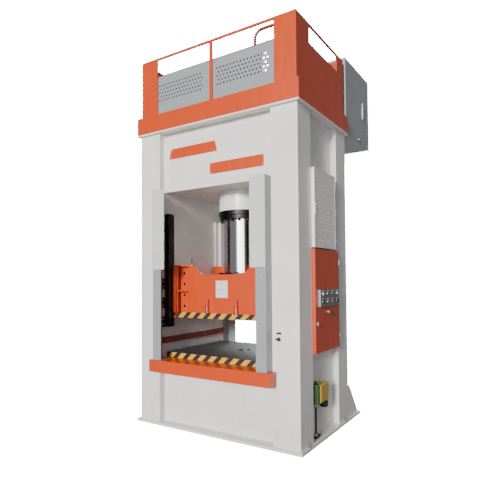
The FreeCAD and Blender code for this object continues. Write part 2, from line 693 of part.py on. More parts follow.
def slide_label():
    """A blank plate riveted to the slide's front."""
    return block("slide_label", ("-label_width / 2", "label_width / 2"),
                 ("-(slide_face + label_thick)", "-slide_face"), ("label_low", "label_low + label_height"))


# --- gibs, table, sills and guard posts ---

def gib(end, way, label, side):
    """An L-shaped guide bar on the column: one leg beside the slide, the other across its corner."""
    name = "gib_%s_%s" % (end, label)
    body = new_body(name, ("0", "0", "gib_low"))
    sketch = new_sketch(body, name + "_section", "XY_Plane")
    wall = BAY
    leg = "(slide_side + shoe_fit)"
    corners = [(wall, "gib_back"), (wall, "gib_front"), ("gib_inner", "gib_front"),
               ("gib_inner", "gib_face"),
               (leg, "gib_face"), (leg, "gib_back")]
    signed = [("%s%s" % ("" if side > 0 else "-", across), "%s%s" % ("" if way > 0 else "-", along))
              for across, along in corners]
    outline(sketch, signed)
    pad(body, sketch, "gib_high - gib_low")
    return body


def gib_blocks():
    """Adjusting blocks bolted to the columns in front of each gib."""
    pieces = []
    for end, way in ENDS:
        for label, side in SIDES:
            for row in range(6):
                low = "(gib_low + %d * gib_block_pitch)" % row
                pieces.append(block("gib_block_%s_%s_%d" % (end, label, row),
                                    span(side, "%s - gib_block_width" % BAY, BAY),
                                    span(way, "gib_front", "gib_front + gib_block_deep"),
                                    (low, low + " + gib_block_tall")))
    return group("gib_blocks", pieces)


def bolster():
    """The table plate, with a round ejector hole at its centre."""
    body = new_body("bolster", ("0", "0", "bed_top"))
    sketch = new_sketch(body, "bolster_outline", "XY_Plane")
    rectangle(sketch, ("-bolster_side", "-bolster_face"), ("bolster_side", "bolster_face"))
    circle(sketch, ("0", "0"), "bolster_hole")
    pad(body, sketch, "bolster_top - bed_top")
    return body


def sill(end, way):
    """A folded channel across the opening, with the guard posts standing on it."""
    name = "sill_" + end
    wall = "sill_wall"
    inner = HALF_DEPTH
    lip = block(name + "_lip", ("-" + BAY, BAY), span(way, BEAM_FACE, inner),
                ("sill_high - sill_wall", "sill_high"))
    outer = block(name + "_outer", ("-sill_half", "sill_half"), span(way, inner, "sill_front"),
                  ("sill_low", "sill_high"))
    hollow = block(name + "_hollow", ("-(sill_half - %s)" % wall, "sill_half - " + wall),
                   span(way, "%s - 1" % inner, "sill_front - " + wall), ("sill_low - 1",
                                                                         "sill_high - " + wall))
    return join(name, [lip, cut(name + "_channel", outer, [hollow])])


def post(end, way, label, side):
    """An angle-section guard post beside the opening, open towards the table."""
    name = "post_%s_%s" % (end, label)
    tall = ("sill_high", "crown_bottom - post_gap")
    face = block(name + "_face", span(side, "post_inner", BAY),
                 span(way, "post_front - post_wall", "post_front"), tall)
    flank = block(name + "_flank", span(side, "%s - post_wall" % BAY, BAY),
                  span(way, "post_back", "post_front"), tall)
    return join(name, [face, flank])


def cover(label, side):
    """A wider plate over the upper half of a front post."""
    return block("cover_" + label, span(side, "cover_inner", BAY), ("-cover_front", "-post_front"),
                 ("cover_low", "crown_bottom - post_gap"))


def side_rail(label, side):
    """A flat bar along the column's inner wall, between the front and rear posts."""
    return block("side_rail_" + label, span(side, "%s - rail_thick" % BAY, BAY),
                 ("-(post_back - 1)", "post_back - 1"), ("rail_low", "rail_high"))


# --- plates, lifting eye and small switch ---

def name_plates():
    """Two blank plates on the crown, one with slanted ends."""
    body = new_body("badge", ("0", "-" + BEAM_FACE, "0"))
    sketch = new_sketch(body, "badge_outline", "XZ_Plane")
    outline(sketch, [("badge_left", "badge_low"), ("badge_right", "badge_low"),
                     ("badge_right - badge_slant", "badge_high"), ("badge_left + badge_slant",
                                                                   "badge_high")])
    pad(body, sketch, "name_thick")
    plate = block("type_plate", ("type_left", "type_right"),
                  ("-(%s + name_thick)" % BEAM_FACE, "-" + BEAM_FACE),
                  ("type_low", "type_high"))
    return group("name_plates", [body, plate])


def side_hook():
    """A lifting eye on the left column's outer side."""
    start = "-(%s + eye_reach)" % HALF_WIDTH
    along = ("eye_place - eye_thick / 2", "eye_place + eye_thick / 2")
    root = block("eye_root", (start, "-" + HALF_WIDTH), along,
                 ("eye_up - eye_radius", "eye_up + eye_radius"))
    nose = drum("eye_nose", (start, "eye_place + eye_thick / 2", "eye_up"), "eye_radius", "eye_thick",
                axis="-y")
    hole = drum("eye_hole", (start, "eye_place + eye_thick", "eye_up"), "eye_bore", "2 * eye_thick",
                axis="-y")
    return cut("side_hook", join("eye_blank", [root, nose]), [hole])


def switch_base():
    """A small switch rosette and a blank tag above it, on the right column's front."""
    rosette = drum("switch_rosette", ("switch_across", "-" + HALF_DEPTH, "switch_up"),
                   "switch_radius", "switch_thick", axis="-y")
    hole = drum("switch_stem_hole", ("switch_across", "-" + HALF_DEPTH, "switch_up"),
                "stem_radius + stem_fit", "2 * switch_thick", axis="-y")
    tag = block("switch_tag", ("switch_across - 34", "switch_across + 34"),
                ("-(%s + 4)" % HALF_DEPTH, "-" + HALF_DEPTH), ("switch_up + 58", "switch_up + 84"))
    return group("switch_base", [cut("switch_ring", rosette, [hole]), tag])


def switch_knob():
    """The switch's turning lever on its stem."""
    face = "-(%s + switch_thick + knob_lift)" % HALF_DEPTH
    stem = drum("switch_stem", ("switch_across", "-(%s + 1)" % HALF_DEPTH, "switch_up"), "stem_radius",
                "switch_thick + 4", axis="-y")
    boss = drum("switch_boss", ("switch_across", face, "switch_up"), "switch_radius - 6", "12", axis="-y")
    lever = block("switch_lever", ("switch_across - knob_reach", "switch_across + 14"),
                  ("%s - 20" % face, "%s - 8" % face), ("switch_up - 8", "switch_up + 8"))
    return join("switch_knob", [stem, boss, lever])


# --- cabinets on the right column ---

def cabinet(name, start, end, low, high):
    """A sheet box in the column's recess, open on its outer side."""
    outer = block(name + "_outer", (WEB, "box_front"), (start, end), (low, high))
    wall = "cabinet_wall"
    inner = block(name + "_inner", ("%s + %s" % (WEB, wall), "box_front + 1"),
                  ("%s + %s" % (start, wall), "%s - %s" % (end, wall)),
                  ("%s + %s" % (low, wall), "%s - %s" % (high, wall)))
    return cut(name, outer, [inner])


DOOR_BACK = "(door_face - door_thick)"


def cabinet_door():
    return block("cabinet_door", (DOOR_BACK, "door_face"), ("cabinet_start", "cabinet_end"),
                 ("cabinet_low", "cabinet_high"))


def vent_door():
    """The upper cabinet's door, perforated with a square grid of round holes."""
    body = new_body("vent_door", (DOOR_BACK, "0", "0"))
    sketch = new_sketch(body, "vent_outline", "YZ_Plane")
    rectangle(sketch, ("cabinet_start", "vent_low"), ("vent_end", "vent_high"))
    pad(body, sketch, "door_thick")
    holes = new_sketch(body, "vent_hole_sketch", "YZ_Plane")
    circle(holes, ("cabinet_start + vent_start", "vent_low + vent_start"), "vent_hole")
    first = pocket(body, holes, "door_thick", backwards=True)
    grid(body, first, "vent_grid", (("Y_Axis", "10 * vent_pitch", 11), ("Z_Axis", "16 * vent_pitch", 17)))
    return body


def vent_box():
    """A box of five welded sheets, open on its outer side."""
    wall, back = "cabinet_wall", "(%s + cabinet_wall)" % WEB
    depth, across = (back, "box_front"), ("cabinet_start + " + wall, "vent_end - " + wall)
    return group("vent_box", [
        block("vent_back", (WEB, back), ("cabinet_start", "vent_end"), ("vent_low", "vent_high")),
        block("vent_near", depth, ("cabinet_start", across[0]), ("vent_low", "vent_high")),
        block("vent_far", depth, (across[1], "vent_end"), ("vent_low", "vent_high")),
        block("vent_floor", depth, across, ("vent_low", "vent_low + " + wall)),
        block("vent_roof", depth, across, ("vent_high - " + wall, "vent_high"))])


def control_cabinet():
    return cabinet("control_cabinet", "cabinet_start", "cabinet_end", "cabinet_low", "cabinet_high")


def control_along(step):
    return "control_first + %d * control_pitch" % step


CONTROLS = [("selector_left", 1, "control_upper"), ("selector_right", 2, "control_upper"),
            ("button_1", 0, "control_lower"), ("button_2", 1, "control_lower"),
            ("button_3", 2, "control_lower"), ("button_4", 3, "control_lower")]
PANEL_FACE = "(door_face + panel_thick)"


def control_plate():
    """The raised control panel and, below it, the boss for the stop button, with a hole for each stem."""
    panel = block("control_panel", ("door_face", PANEL_FACE), ("panel_start", "panel_end"),
                  ("panel_low", "panel_high"))
    boss = drum("stop_boss_piece", ("door_face", "stop_place", "stop_height"), "stop_radius + 6",
                "panel_thick", axis="x")
    tools = []
    for name, step, level in CONTROLS:
        tools.append(drum(name + "_hole", ("%s - stem_hole" % PANEL_FACE, control_along(step), level),
                          "stem_radius + stem_fit", "stem_hole + 1", axis="x"))
    bore = drum("stop_hole", ("%s - stem_hole" % PANEL_FACE, "stop_place", "stop_height"),
                "stem_radius + stem_fit", "stem_hole + 1", axis="x")
    return group("control_plate", [cut("panel_drilled", panel, tools), cut("boss_drilled", boss, [bore])])


def indicator_lamps():
    lamps = []
    for number, step in enumerate((0, 3)):
        lamps.append(drum("lamp_%d" % number, (PANEL_FACE, control_along(step), "control_upper"),
                          "lamp_radius",
                          "lamp_height", axis="x"))
    return group("indicator_lamps", lamps)


def push_button(name, along, level, radius):
    stem = drum(name + "_stem", ("%s - stem_in" % PANEL_FACE, along, level), "stem_radius",
                "stem_in + cap_lift + 1", axis="x")
    cap = drum(name + "_cap", ("%s + cap_lift" % PANEL_FACE, along, level), radius, "cap_height", axis="x")
    return join(name, [stem, cap])


def selector(name, along, level):
    """A turning switch: a round knob with a grip bar."""
    stem = drum(name + "_stem", ("%s - stem_in" % PANEL_FACE, along, level), "stem_radius",
                "stem_in + knob_lift + 1", axis="x")
    base = drum(name + "_base", ("%s + knob_lift" % PANEL_FACE, along, level), "cap_radius",
                "knob_height / 2", axis="x")
    grip = block(name + "_grip", ("%s + knob_lift" % PANEL_FACE,
                                  "%s + knob_lift + knob_height" % PANEL_FACE),
                 ("%s - grip_width / 2" % along, "%s + grip_width / 2" % along),
                 ("%s - cap_radius + 2" % level, "%s + cap_radius - 2" % level))
    return join(name, [stem, base, grip])


def door_lock():
    """The quarter-turn latch by the door's front edge."""
    along = "(cabinet_start + lock_inset)"
    face = "(door_face + knob_lift)"
    boss = drum("lock_boss", (face, along, "lock_height"), "lock_radius", "lock_thick", axis="x")
    wing = block("lock_wing", (face, "%s + 2 * lock_thick" % face),
                 ("%s - grip_width / 2" % along, "%s + grip_width / 2" % along),
                 ("lock_height - lock_radius", "lock_height + lock_radius"))
    return join("door_lock", [boss, wing])


# --- lubrication unit in the foot of the right recess ---

def lube_unit():
    """A pump housing with an upright reservoir beside it and a motor below."""
    housing = block("lube_housing", (WEB, "%s + lube_out" % WEB), ("lube_start", "lube_end"),
                    ("lube_low", "lube_high"))
    reservoir = drum("lube_reservoir", ("%s + lube_drum" % WEB, "lube_drum_place", "lube_low"), "lube_drum",
                     "lube_high - lube_low + 58")
    tie_bar = block("lube_tie", (WEB, "%s + 30" % WEB), ("lube_drum_place", "lube_start"),
                    ("lube_low + 20", "lube_high - 20"))
    motor = drum("lube_motor_case", (WEB, "lube_end - lube_motor", "lube_low - lube_motor_drop + 8"),
                 "lube_motor",
                 "lube_out - 6", axis="x")
    return join("lube_unit", [housing, reservoir, tie_bar, motor])


def lube_hose():
    """The drain hose from the reservoir down to a floor fitting."""
    centre = "(%s + lube_drum)" % WEB
    pipe = drum("hose_pipe", (centre, "lube_drum_place", "hose_bottom"), "hose_radius",
                "lube_low - hose_bottom")
    foot = block("hose_foot", ("%s - 22" % centre, "%s + 22" % centre),
                 ("lube_drum_place - 22", "lube_drum_place + hose_elbow"), ("plate_thick", "hose_bottom"))
    return join("lube_hose", [pipe, foot])


# --- build ---

def build():
    nodes = [base_plate()]
    nodes += [column(label, side) for label, side in SIDES]
    nodes += [crown(), bed(), foot_gussets(), anchor_bolts(), deck(), guard_front()]
    nodes += [guard_side(label, side) for label, side in SIDES]
    nodes.append(guard_rear())
    nodes += [infill(label, side) for label, side in SIDES]
    nodes += [oil_tank(), tank_lid(), tank_brackets(), handrail(), barrel(), gland_ring(), rod(),
              rod_flange()]
    nodes += [slide(), slide_bolts(), slide_label()]
    for end, way in ENDS:
        nodes.append(sill(end, way))
        for label, side in SIDES:
            nodes.append(gib(end, way, label, side))
            nodes.append(post(end, way, label, side))
    nodes += [gib_blocks(), bolster()]
    for label, side in SIDES:
        nodes += [cover(label, side), side_rail(label, side)]
    nodes += [name_plates(), side_hook(), switch_base(), switch_knob(), control_cabinet(), vent_box()]
    nodes += [cabinet_door(), vent_door(), control_plate(), indicator_lamps(), door_lock()]
    for name, step, level in CONTROLS:
        if name.startswith("selector"):
            nodes.append(selector(name, control_along(step), level))
        else:
            nodes.append(push_button(name, control_along(step), level, "cap_radius"))
    nodes.append(push_button("emergency_stop", "stop_place", "stop_height", "stop_radius"))
    nodes += [lube_unit(), lube_hose()]
    return nodes


def check(nodes):
    for thing in DOC.Objects:
        if "Invalid" in thing.State or "Error" in thing.State:
            raise RuntimeError("%s failed: %s" % (thing.Label, thing.State))
    for node in nodes:
        if node.Shape.isNull() or not node.Shape.isValid():
            raise RuntimeError(node.Label + " has no valid shape")


def main():
    fill_sheet()
    nodes = build()
    DOC.recompute()
    check(nodes)
    os.makedirs("parts", exist_ok=True)
    for node in nodes:
        node.Shape.exportStep("parts/%s.step" % node.Label)
        box = node.Shape.BoundBox
        print("%-18s %2d solids  X %7.1f %7.1f  Y %7.1f %7.1f  Z %7.1f %7.1f" % (
            node.Label, len(node.Shape.Solids), box.XMin, box.XMax, box.YMin, box.YMax, box.ZMin, box.ZMax))


main()
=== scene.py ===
"""Finishes, fittings and weld seams of a straight-sided hydraulic press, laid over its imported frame."""

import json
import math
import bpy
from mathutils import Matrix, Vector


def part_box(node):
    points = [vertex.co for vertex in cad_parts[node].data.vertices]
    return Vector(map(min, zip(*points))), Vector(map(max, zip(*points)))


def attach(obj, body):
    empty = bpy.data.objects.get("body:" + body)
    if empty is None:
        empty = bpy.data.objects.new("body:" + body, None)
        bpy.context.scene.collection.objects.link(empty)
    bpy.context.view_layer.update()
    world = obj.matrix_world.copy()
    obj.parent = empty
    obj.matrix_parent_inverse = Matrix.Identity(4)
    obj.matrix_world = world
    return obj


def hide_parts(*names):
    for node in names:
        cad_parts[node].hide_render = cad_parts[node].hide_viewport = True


bl_info = {
    "name": "Hydraulic press fittings",
    "version": (1, 0, 0),
    "blender": (4, 5, 0),
    "location": "View3D > Sidebar > Press",
    "description": "Builds the finishes, fittings and weld seams of a straight-sided hydraulic press",
    "category": "Object",
}

import bmesh
import bpy
from bpy.props import FloatProperty, FloatVectorProperty, PointerProperty
from bpy.types import Operator, Panel, PropertyGroup
from mathutils import Matrix, Vector

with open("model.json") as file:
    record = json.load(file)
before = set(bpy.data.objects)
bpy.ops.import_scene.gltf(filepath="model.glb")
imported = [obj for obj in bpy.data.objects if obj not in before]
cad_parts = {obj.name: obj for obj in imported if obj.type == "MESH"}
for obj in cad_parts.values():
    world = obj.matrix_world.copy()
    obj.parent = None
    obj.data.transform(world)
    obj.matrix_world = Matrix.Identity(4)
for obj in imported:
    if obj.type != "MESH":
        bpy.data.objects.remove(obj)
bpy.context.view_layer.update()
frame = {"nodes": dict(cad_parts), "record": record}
MM = 0.001
BOTH = (-1, 1)
QUARTERS = [(first, second) for first in BOTH for second in BOTH]
SIDES = (("left", -1), ("right", 1))
ENDS = (("front", -1), ("rear", 1))
OUT = {-1: "-y", 1: "y"}


# --- colours and node trees ---

def linear(code):
    """An sRGB hex colour as linear red, green, blue and alpha; a linear colour stays as it is."""
    if not isinstance(code, str):
        return tuple(code)
    parts = [int(code[at:at + 2], 16) / 255 for at in (0, 2, 4)]
    return tuple(v / 12.92 if v <= 0.04045 else ((v + 0.055) / 1.055) ** 2.4 for v in parts) + (1.0,)


def add(tree, kind, settings=None, links=None):
    """Adds a node; settings are its properties or, by name or number, its inputs; links are (node, output)."""
    node = tree.nodes.new(kind)
    for key, value in (settings or {}).items():
        if isinstance(key, str) and hasattr(node, key):
            setattr(node, key, value)
    for key, value in (settings or {}).items():
        if isinstance(key, int) or not hasattr(node, key):
            node.inputs[key].default_value = value
    for socket, (source, output) in (links or {}).items():
        tree.links.new(source.outputs[output], node.inputs[socket])
    return node


def begin(name, colour, metallic, roughness, **more):
    """A new material with its principled shader's plain values set."""
    material = bpy.data.materials.new(name)
    material.use_nodes = True
    tree = material.node_tree
    shader = tree.nodes["Principled BSDF"]
    values = {"Base Color": colour, "Metallic": metallic, "Roughness": roughness, **more}
    for socket, value in values.items():
        shader.inputs[socket.replace("_", " ")].default_value = value
    material.diffuse_color = colour
    return material, tree, shader


def grain(tree, across, stretch=(1.0, 1.0, 1.0), detail=3.0, rough=0.5):
    """Noise on object coordinates whose blotches are about this many metres across."""
    where = add(tree, "ShaderNodeTexCoord")
    placed = add(tree, "ShaderNodeMapping", {"Scale": stretch}, {"Vector": (where, "Object")})
    return add(tree, "ShaderNodeTexNoise", {"Scale": 1 / across, "Detail": detail, "Roughness": rough},
               {"Vector": (placed, "Vector")})


def spread(tree, source, output, low, high, to_low=0.0, to_high=1.0):
    """Maps one stretch of values on to another, held at its ends."""
    return add(tree, "ShaderNodeMapRange",
               {"From Min": low, "From Max": high, "To Min": to_low, "To Max": to_high},
               {"Value": (source, output)})


def blend_colours(tree, amount, first, second):
    """Mixes two colours, each a plain value or a (node, output) pair, by a (node, output) amount."""
    settings, links = {"data_type": "RGBA"}, {0: amount}
    for socket, value in ((6, first), (7, second)):
        (settings if isinstance(value[0], float) else links)[socket] = value
    return add(tree, "ShaderNodeMix", settings, links)


def relief(tree, shader, source, height, strength=1.0, before=None):
    """Bumps the surface by a noise node's height in metres."""
    links = {"Height": (source, "Fac")}
    if before:
        links["Normal"] = (before, "Normal")
    bump = add(tree, "ShaderNodeBump", {"Strength": strength, "Distance": height}, links)
    tree.links.new(bump.outputs["Normal"], shader.inputs["Normal"])
    return bump


def enamel(name, colour, soil, roughness=0.36, edge=None, reach=0.9):
    """Two-pack enamel sprayed on fabricated plate: faint plate waviness, orange peel and workshop dust.

    edge is a (height, colour) below which the paint changes; soil darkens the lowest stretch, reach metres high.
    """
    colour, soil = linear(colour), linear(soil)
    material, tree, shader = begin(name, colour, 0.0, roughness, Coat_Weight=0.12, Coat_Roughness=0.12)
    # cloudy tone differences about 600 mm across, as on large hand-sprayed plates
    cloud_share = spread(tree, grain(tree, 0.6, detail=2.0), "Fac", 0.35, 0.7, 0.0, 0.14)
    where = add(tree, "ShaderNodeTexCoord")
    split = add(tree, "ShaderNodeSeparateXYZ", {}, {"Vector": (where, "Object")})
    base = colour
    if edge:
        line = spread(tree, split, "Z", edge[0] - MM, edge[0] + MM)
        base = (blend_colours(tree, (line, "Result"), edge[1], colour), 2)
    toned = blend_colours(tree, (cloud_share, "Result"), base, soil)
    # dust and scuffs that gather low down; streaks 40 mm wide and long in the height
    streak = grain(tree, 0.04, (1.0, 1.0, 0.12), 4.0, 0.6)
    low = spread(tree, split, "Z", 0.0, reach, 0.45, 0.0)
    dusty = add(tree, "ShaderNodeMath", {"operation": "MULTIPLY"}, {0: (streak, "Fac"), 1: (low, "Result")})
    final = blend_colours(tree, (dusty, "Value"), (toned, 2), soil)
    tree.links.new(final.outputs[2], shader.inputs["Base Color"])
    sheen = spread(tree, streak, "Fac", 0.3, 0.75, roughness - 0.05, roughness + 0.09)
    tree.links.new(sheen.outputs["Result"], shader.inputs["Roughness"])
    # weld pull makes plate wavy over 350 mm; orange peel is drawn at 6 mm so that it shows
    wave = relief(tree, shader, grain(tree, 0.35, detail=1.0), 0.0022, 0.5)
    relief(tree, shader, grain(tree, 0.006, detail=1.0), 0.00012, 0.5, wave)
    return material


def ground_metal(name, colour, roughness, across, stretch, depth, tint):
    """Metal cut or ground in one direction: fine lines along it and slightly uneven tone."""
    colour, tint = linear(colour), linear(tint)
    material, tree, shader = begin(name, colour, 1.0, roughness)
    lines = grain(tree, across, stretch, 4.0, 0.65)
    tone = spread(tree, lines, "Fac", 0.3, 0.7)
    shade = blend_colours(tree, (tone, "Result"), colour, tint)
    tree.links.new(shade.outputs[2], shader.inputs["Base Color"])
    gloss = spread(tree, lines, "Fac", 0.3, 0.7, max(0.03, roughness - 0.04), roughness + 0.06)
    tree.links.new(gloss.outputs["Result"], shader.inputs["Roughness"])
    relief(tree, shader, lines, depth, 0.4)
    return material


def moulded(name, colour, roughness=0.35, depth=0.0002, **more):
    """Moulded plastic or rubber: a fine even grain, a few millimetres across so that it shows."""
    material, tree, shader = begin(name, linear(colour), 0.0, roughness, IOR=1.5, **more)
    fine = grain(tree, 0.002, detail=1.0)
    gloss = spread(tree, fine, "Fac", 0.3, 0.7, roughness - 0.04, roughness + 0.06)
    tree.links.new(gloss.outputs["Result"], shader.inputs["Roughness"])
    relief(tree, shader, fine, depth, 0.3)
    return material


FINISH = {}


def make_finishes(paint):
    """Every finish on the press, by the name that its pieces use."""
    white, orange, grey = paint.frame_white[:], paint.accent_orange[:], paint.guard_grey[:]
    dust, rust, even = "9A958C", "A8430E", (1, 1, 1)
    FINISH.update({
        # semi-gloss white enamel over welded plate, warm and a little uneven
        "white": enamel("white_enamel_on_plate", white, dust),
        # the same enamel in orange; its shaded tone is a redder orange
        "orange": enamel("orange_enamel_on_plate", orange, rust),
        # orange sheet whose lowest plate edge keeps the frame's white
        "deck": enamel("orange_enamel_white_edged", orange, rust, edge=(paint.edge_line, white)),
        # the rails' orange enamel, painted a darker red-brown: painted shade, as the rails stand in shade
        "shaded_orange": enamel("orange_enamel_painted_shaded", "8A2E14", "5E2410", 0.42),
        # sprayed enamels on folded sheet and castings: guards, covers, tank, pump and its drum
        "grey": enamel("grey_enamel_on_sheet", grey, "77797A", 0.42),
        "cover": enamel("light_grey_enamel_on_sheet", "CECFCD", "8A8C8D", 0.40),
        "tank": enamel("mid_grey_enamel_on_tank", paint.tank_grey[:], "7F8488", 0.45),
        "lube": enamel("yellow_enamel_on_casting", "C7A22A", "6B5A20", 0.4, reach=0.2),
        "green": enamel("green_enamel_on_drum", "3F6B3A", "22361F", 0.35, reach=0.2),
        # road enamel brushed on through a mask
        "stripe_yellow": enamel("yellow_road_enamel", "E09C00", "A87C10", 0.45),
        "stripe_black": enamel("black_road_enamel", "1B1A18", "3A3833", 0.45),
        # hard chrome ground and polished: mirror bright with faint rings from grinding
        "chrome": ground_metal("hard_chrome_ground", "D9DBDD", 0.09, 0.004, (0.15, 0.15, 1.0), 0.00002, "C2C4C7"),
        # heat-blackened alloy steel with an oil film
        "black_steel": ground_metal("black_oxide_oiled", "2E2D2B", 0.38, 0.02, even, 0.0002, "1C1B1A"),
        # cast iron scraped flat, dark with way oil
        "gib": ground_metal("cast_iron_with_way_oil", "343230", 0.34, 0.03, (1, 1, 0.2), 0.0003, "1F1E1D"),
        # milled and ground iron table: dull grey with cutter lines along X, 5 mm apart
        "table": ground_metal("ground_cast_iron", "6E7072", 0.46, 0.005, (0.05, 1, 1), 0.00015, "55585B"),
        # zinc plated steel: bluish grey, slightly blotched
        "zinc": ground_metal("zinc_plated_steel", "A8ABAD", 0.35, 0.008, even, 0.0001, "8E9193"),
        # stainless steel turned on a lathe
        "stainless": ground_metal("stainless_steel_turned", "C4C3C0", 0.24, 0.003, even, 0.00005, "AEADAA"),
        # satin anodised aluminium, brushed across: neutral grey
        "anodised": ground_metal("aluminium_anodised_grey", "9A9C9B", 0.42, 0.002, (1, 0.05, 1), 0.00004, "868887"),
        # painted pale sheet with a faint band across its middle
        "label": enamel("pale_enamel_on_label", "DCE0E2", "A9AFB4", 0.35),
        "label_band": enamel("blue_grey_enamel_band", "A9B4BC", "8C969E", 0.4),
        # moulded plastics: panel fittings and button caps
        "black": moulded("black_polyamide_moulded", "1D1D1E", 0.42),
        "red": moulded("red_abs_moulded", "8E1712", 0.3),
        "green_cap": moulded("green_abs_moulded", "1E6B3A", 0.3),
        "white_cap": moulded("white_abs_moulded", "D8D8D2", 0.32),
        # clear polycarbonate lens over a pale diffuser
        "lens": moulded("polycarbonate_lens_moulded", "C9CFC6", 0.12, Coat_Weight=0.6),
        # a black sheet behind the perforated sheets: painted shade, so that their holes read dark
        "painted_shade_black": moulded("polyurethane_foam_lining", "19191A", 0.9, 0.0008),
        # extruded nitrile hose and seals
        "rubber": moulded("nitrile_rubber_hose", "191918", 0.6, 0.0004),
    })


# --- shaping: every length given to these functions is in millimetres ---

AXES = {
    "x": Matrix.Rotation(math.pi / 2, 4, "Y"), "y": Matrix.Rotation(-math.pi / 2, 4, "X"),
    "-y": Matrix.Rotation(math.pi / 2, 4, "X"), "z": Matrix.Identity(4), "-z": Matrix.Rotation(math.pi, 4, "X"),
}


def at(*place):
    """The matrix that moves to a place."""
    return Matrix.Translation(Vector(*place) * MM)


def box(node):
    """A frame node's two corners."""
    return [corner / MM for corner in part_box(node)]


def round_edges(part, width, steps=2, least=30):
    """Rounds every edge that turns by more than the least angle."""
    sharp = [e for e in part.edges if len(e.link_faces) == 2 and e.calc_face_angle(0) > math.radians(least)]
    if sharp and width > 0:
        bmesh.ops.bevel(part, geom=sharp, offset=width * MM, offset_type="OFFSET", affect="EDGES",
                        segments=steps, profile=0.5, material=-1, clamp_overlap=True)
    return part


def slab(low, high, edge=0.0, steps=2):
    """A plate or block between two corners."""
    part = bmesh.new()
    low, high = Vector(low) * MM, Vector(high) * MM
    size = Matrix.Diagonal((*(high - low), 1.0))
    bmesh.ops.create_cube(part, size=1.0, matrix=Matrix.Translation((low + high) / 2) @ size)
    return round_edges(part, edge, steps)


def turned(profile, centre=(0, 0, 0), axis="z", steps=32):
    """A half section of (radius, height) points swung round an axis through the centre."""
    part = bmesh.new()
    points = [part.verts.new((radius * MM, 0.0, height * MM)) for radius, height in profile]
    lines = [part.edges.new(pair) for pair in zip(points, points[1:])]
    bmesh.ops.spin(part, geom=points + lines, cent=(0, 0, 0), axis=(0, 0, 1), angle=2 * math.pi, steps=steps,
                   use_merge=True)
    bmesh.ops.remove_doubles(part, verts=part.verts, dist=1e-6)
    bmesh.ops.dissolve_degenerate(part, dist=1e-6, edges=part.edges)
    bmesh.ops.recalc_face_normals(part, faces=part.faces)
    bmesh.ops.transform(part, matrix=at(centre) @ AXES[axis], verts=part.verts)
    return part


def disc(radius, height, centre, axis="z", steps=32, ease=2, drop=None):
    """A washer, plug or flat head whose rim is eased by this much across and down."""
    drop = ease if drop is None else drop
    return turned([(0, height), (radius - ease, height), (radius, height - drop), (radius, 0), (0, 0)],
                  centre, axis, steps)


def cap_screw(radius, height, centre, axis):
    """A socket cap screw's head: eased rim and a recess."""
    ease, socket, deep = radius * 0.12, radius * 0.5, height * 0.55
    return turned([(0, height - deep), (socket, height - deep), (socket, height), (radius - ease, height),
                   (radius, height - ease), (radius, 0), (0, 0)], centre, axis, 18)


def hexagon(across, height, centre, axis="z", turn=0.0):
    """A hexagon nut or bolt head, its corners eased."""
    part = bmesh.new()
    radius = across * MM / math.sqrt(3)
    bmesh.ops.create_cone(part, cap_ends=True, segments=6, radius1=radius, radius2=radius, depth=height * MM,
                          matrix=at((0, 0, height / 2)) @ Matrix.Rotation(turn, 4, "Z"))
    round_edges(part, across * 0.05, 1)
    bmesh.ops.transform(part, matrix=at(centre) @ AXES[axis], verts=part.verts)
    return part


def circle(count, radius, height, half=0.0, y=0.0):
    """Places evenly round an upright axis; half a step on when half is 0.5."""
    turns = [math.tau * (step + half) / count for step in range(count)]
    return [Vector((radius * math.cos(turn), y + radius * math.sin(turn), height)) for turn in turns]


def aimed(start, end):
    """Both ends in metres, the way between them and the turn that points Z along it."""
    start, end = Vector(start) * MM, Vector(end) * MM
    along = end - start
    return start, end, along, along.to_track_quat("Z", "Y").to_matrix().to_4x4()


def ring_at(part, radius, matrix, segments):
    """A circle's corners and edges, to be pulled along a path."""
    ring = bmesh.ops.create_circle(part, cap_ends=False, segments=segments, radius=radius * MM,
                                   matrix=matrix)["verts"]
    return ring + list(dict.fromkeys(e for v in ring for e in v.link_edges))


def close_ends(part):
    """Fills a pulled tube's two open ends."""
    bmesh.ops.holes_fill(part, edges=[e for e in part.edges if e.is_boundary], sides=24)
    bmesh.ops.recalc_face_normals(part, faces=part.faces)
    return part


def round_bar(start, end, radius, segments=16):
    """A straight round bar between two points."""
    part = bmesh.new()
    start, end, along, turn = aimed(start, end)
    bmesh.ops.create_cone(part, cap_ends=True, segments=segments, radius1=radius * MM, radius2=radius * MM,
                          depth=along.length, matrix=Matrix.Translation((start + end) / 2) @ turn)
    return part


def weld(start, end, radius, pitch=22):
    """A weld bead: a thin bar whose width swells at each ripple."""
    part = bmesh.new()
    start, end, along, turn = aimed(start, end)
    steps = max(4, int(along.length / (pitch * MM)) * 2)
    ring = ring_at(part, radius, Matrix.Translation(start) @ turn, 8)
    bmesh.ops.spin(part, geom=ring, cent=start, axis=along.normalized(), dvec=along / steps, angle=0,
                   steps=steps, use_merge=False)
    for vert in part.verts:
        share = (vert.co - start).dot(along) / along.length_squared
        centre = start + along * share
        swell = 1.0 + 0.10 * math.cos(math.pi * round(share * steps))
        vert.co = centre + (vert.co - centre) * swell
    return close_ends(part)


def softened(node, width, steps=2):
    """A copy of a frame node, its loose triangles merged into plates and its edges rounded."""
    part = bmesh.new()
    part.from_mesh(frame["nodes"][node].data)
    bmesh.ops.remove_doubles(part, verts=part.verts, dist=1e-5)
    bmesh.ops.dissolve_limit(part, angle_limit=math.radians(1), use_dissolve_boundaries=False,
                             verts=part.verts, edges=part.edges, delimit={"NORMAL"})
    return round_edges(part, width, steps)


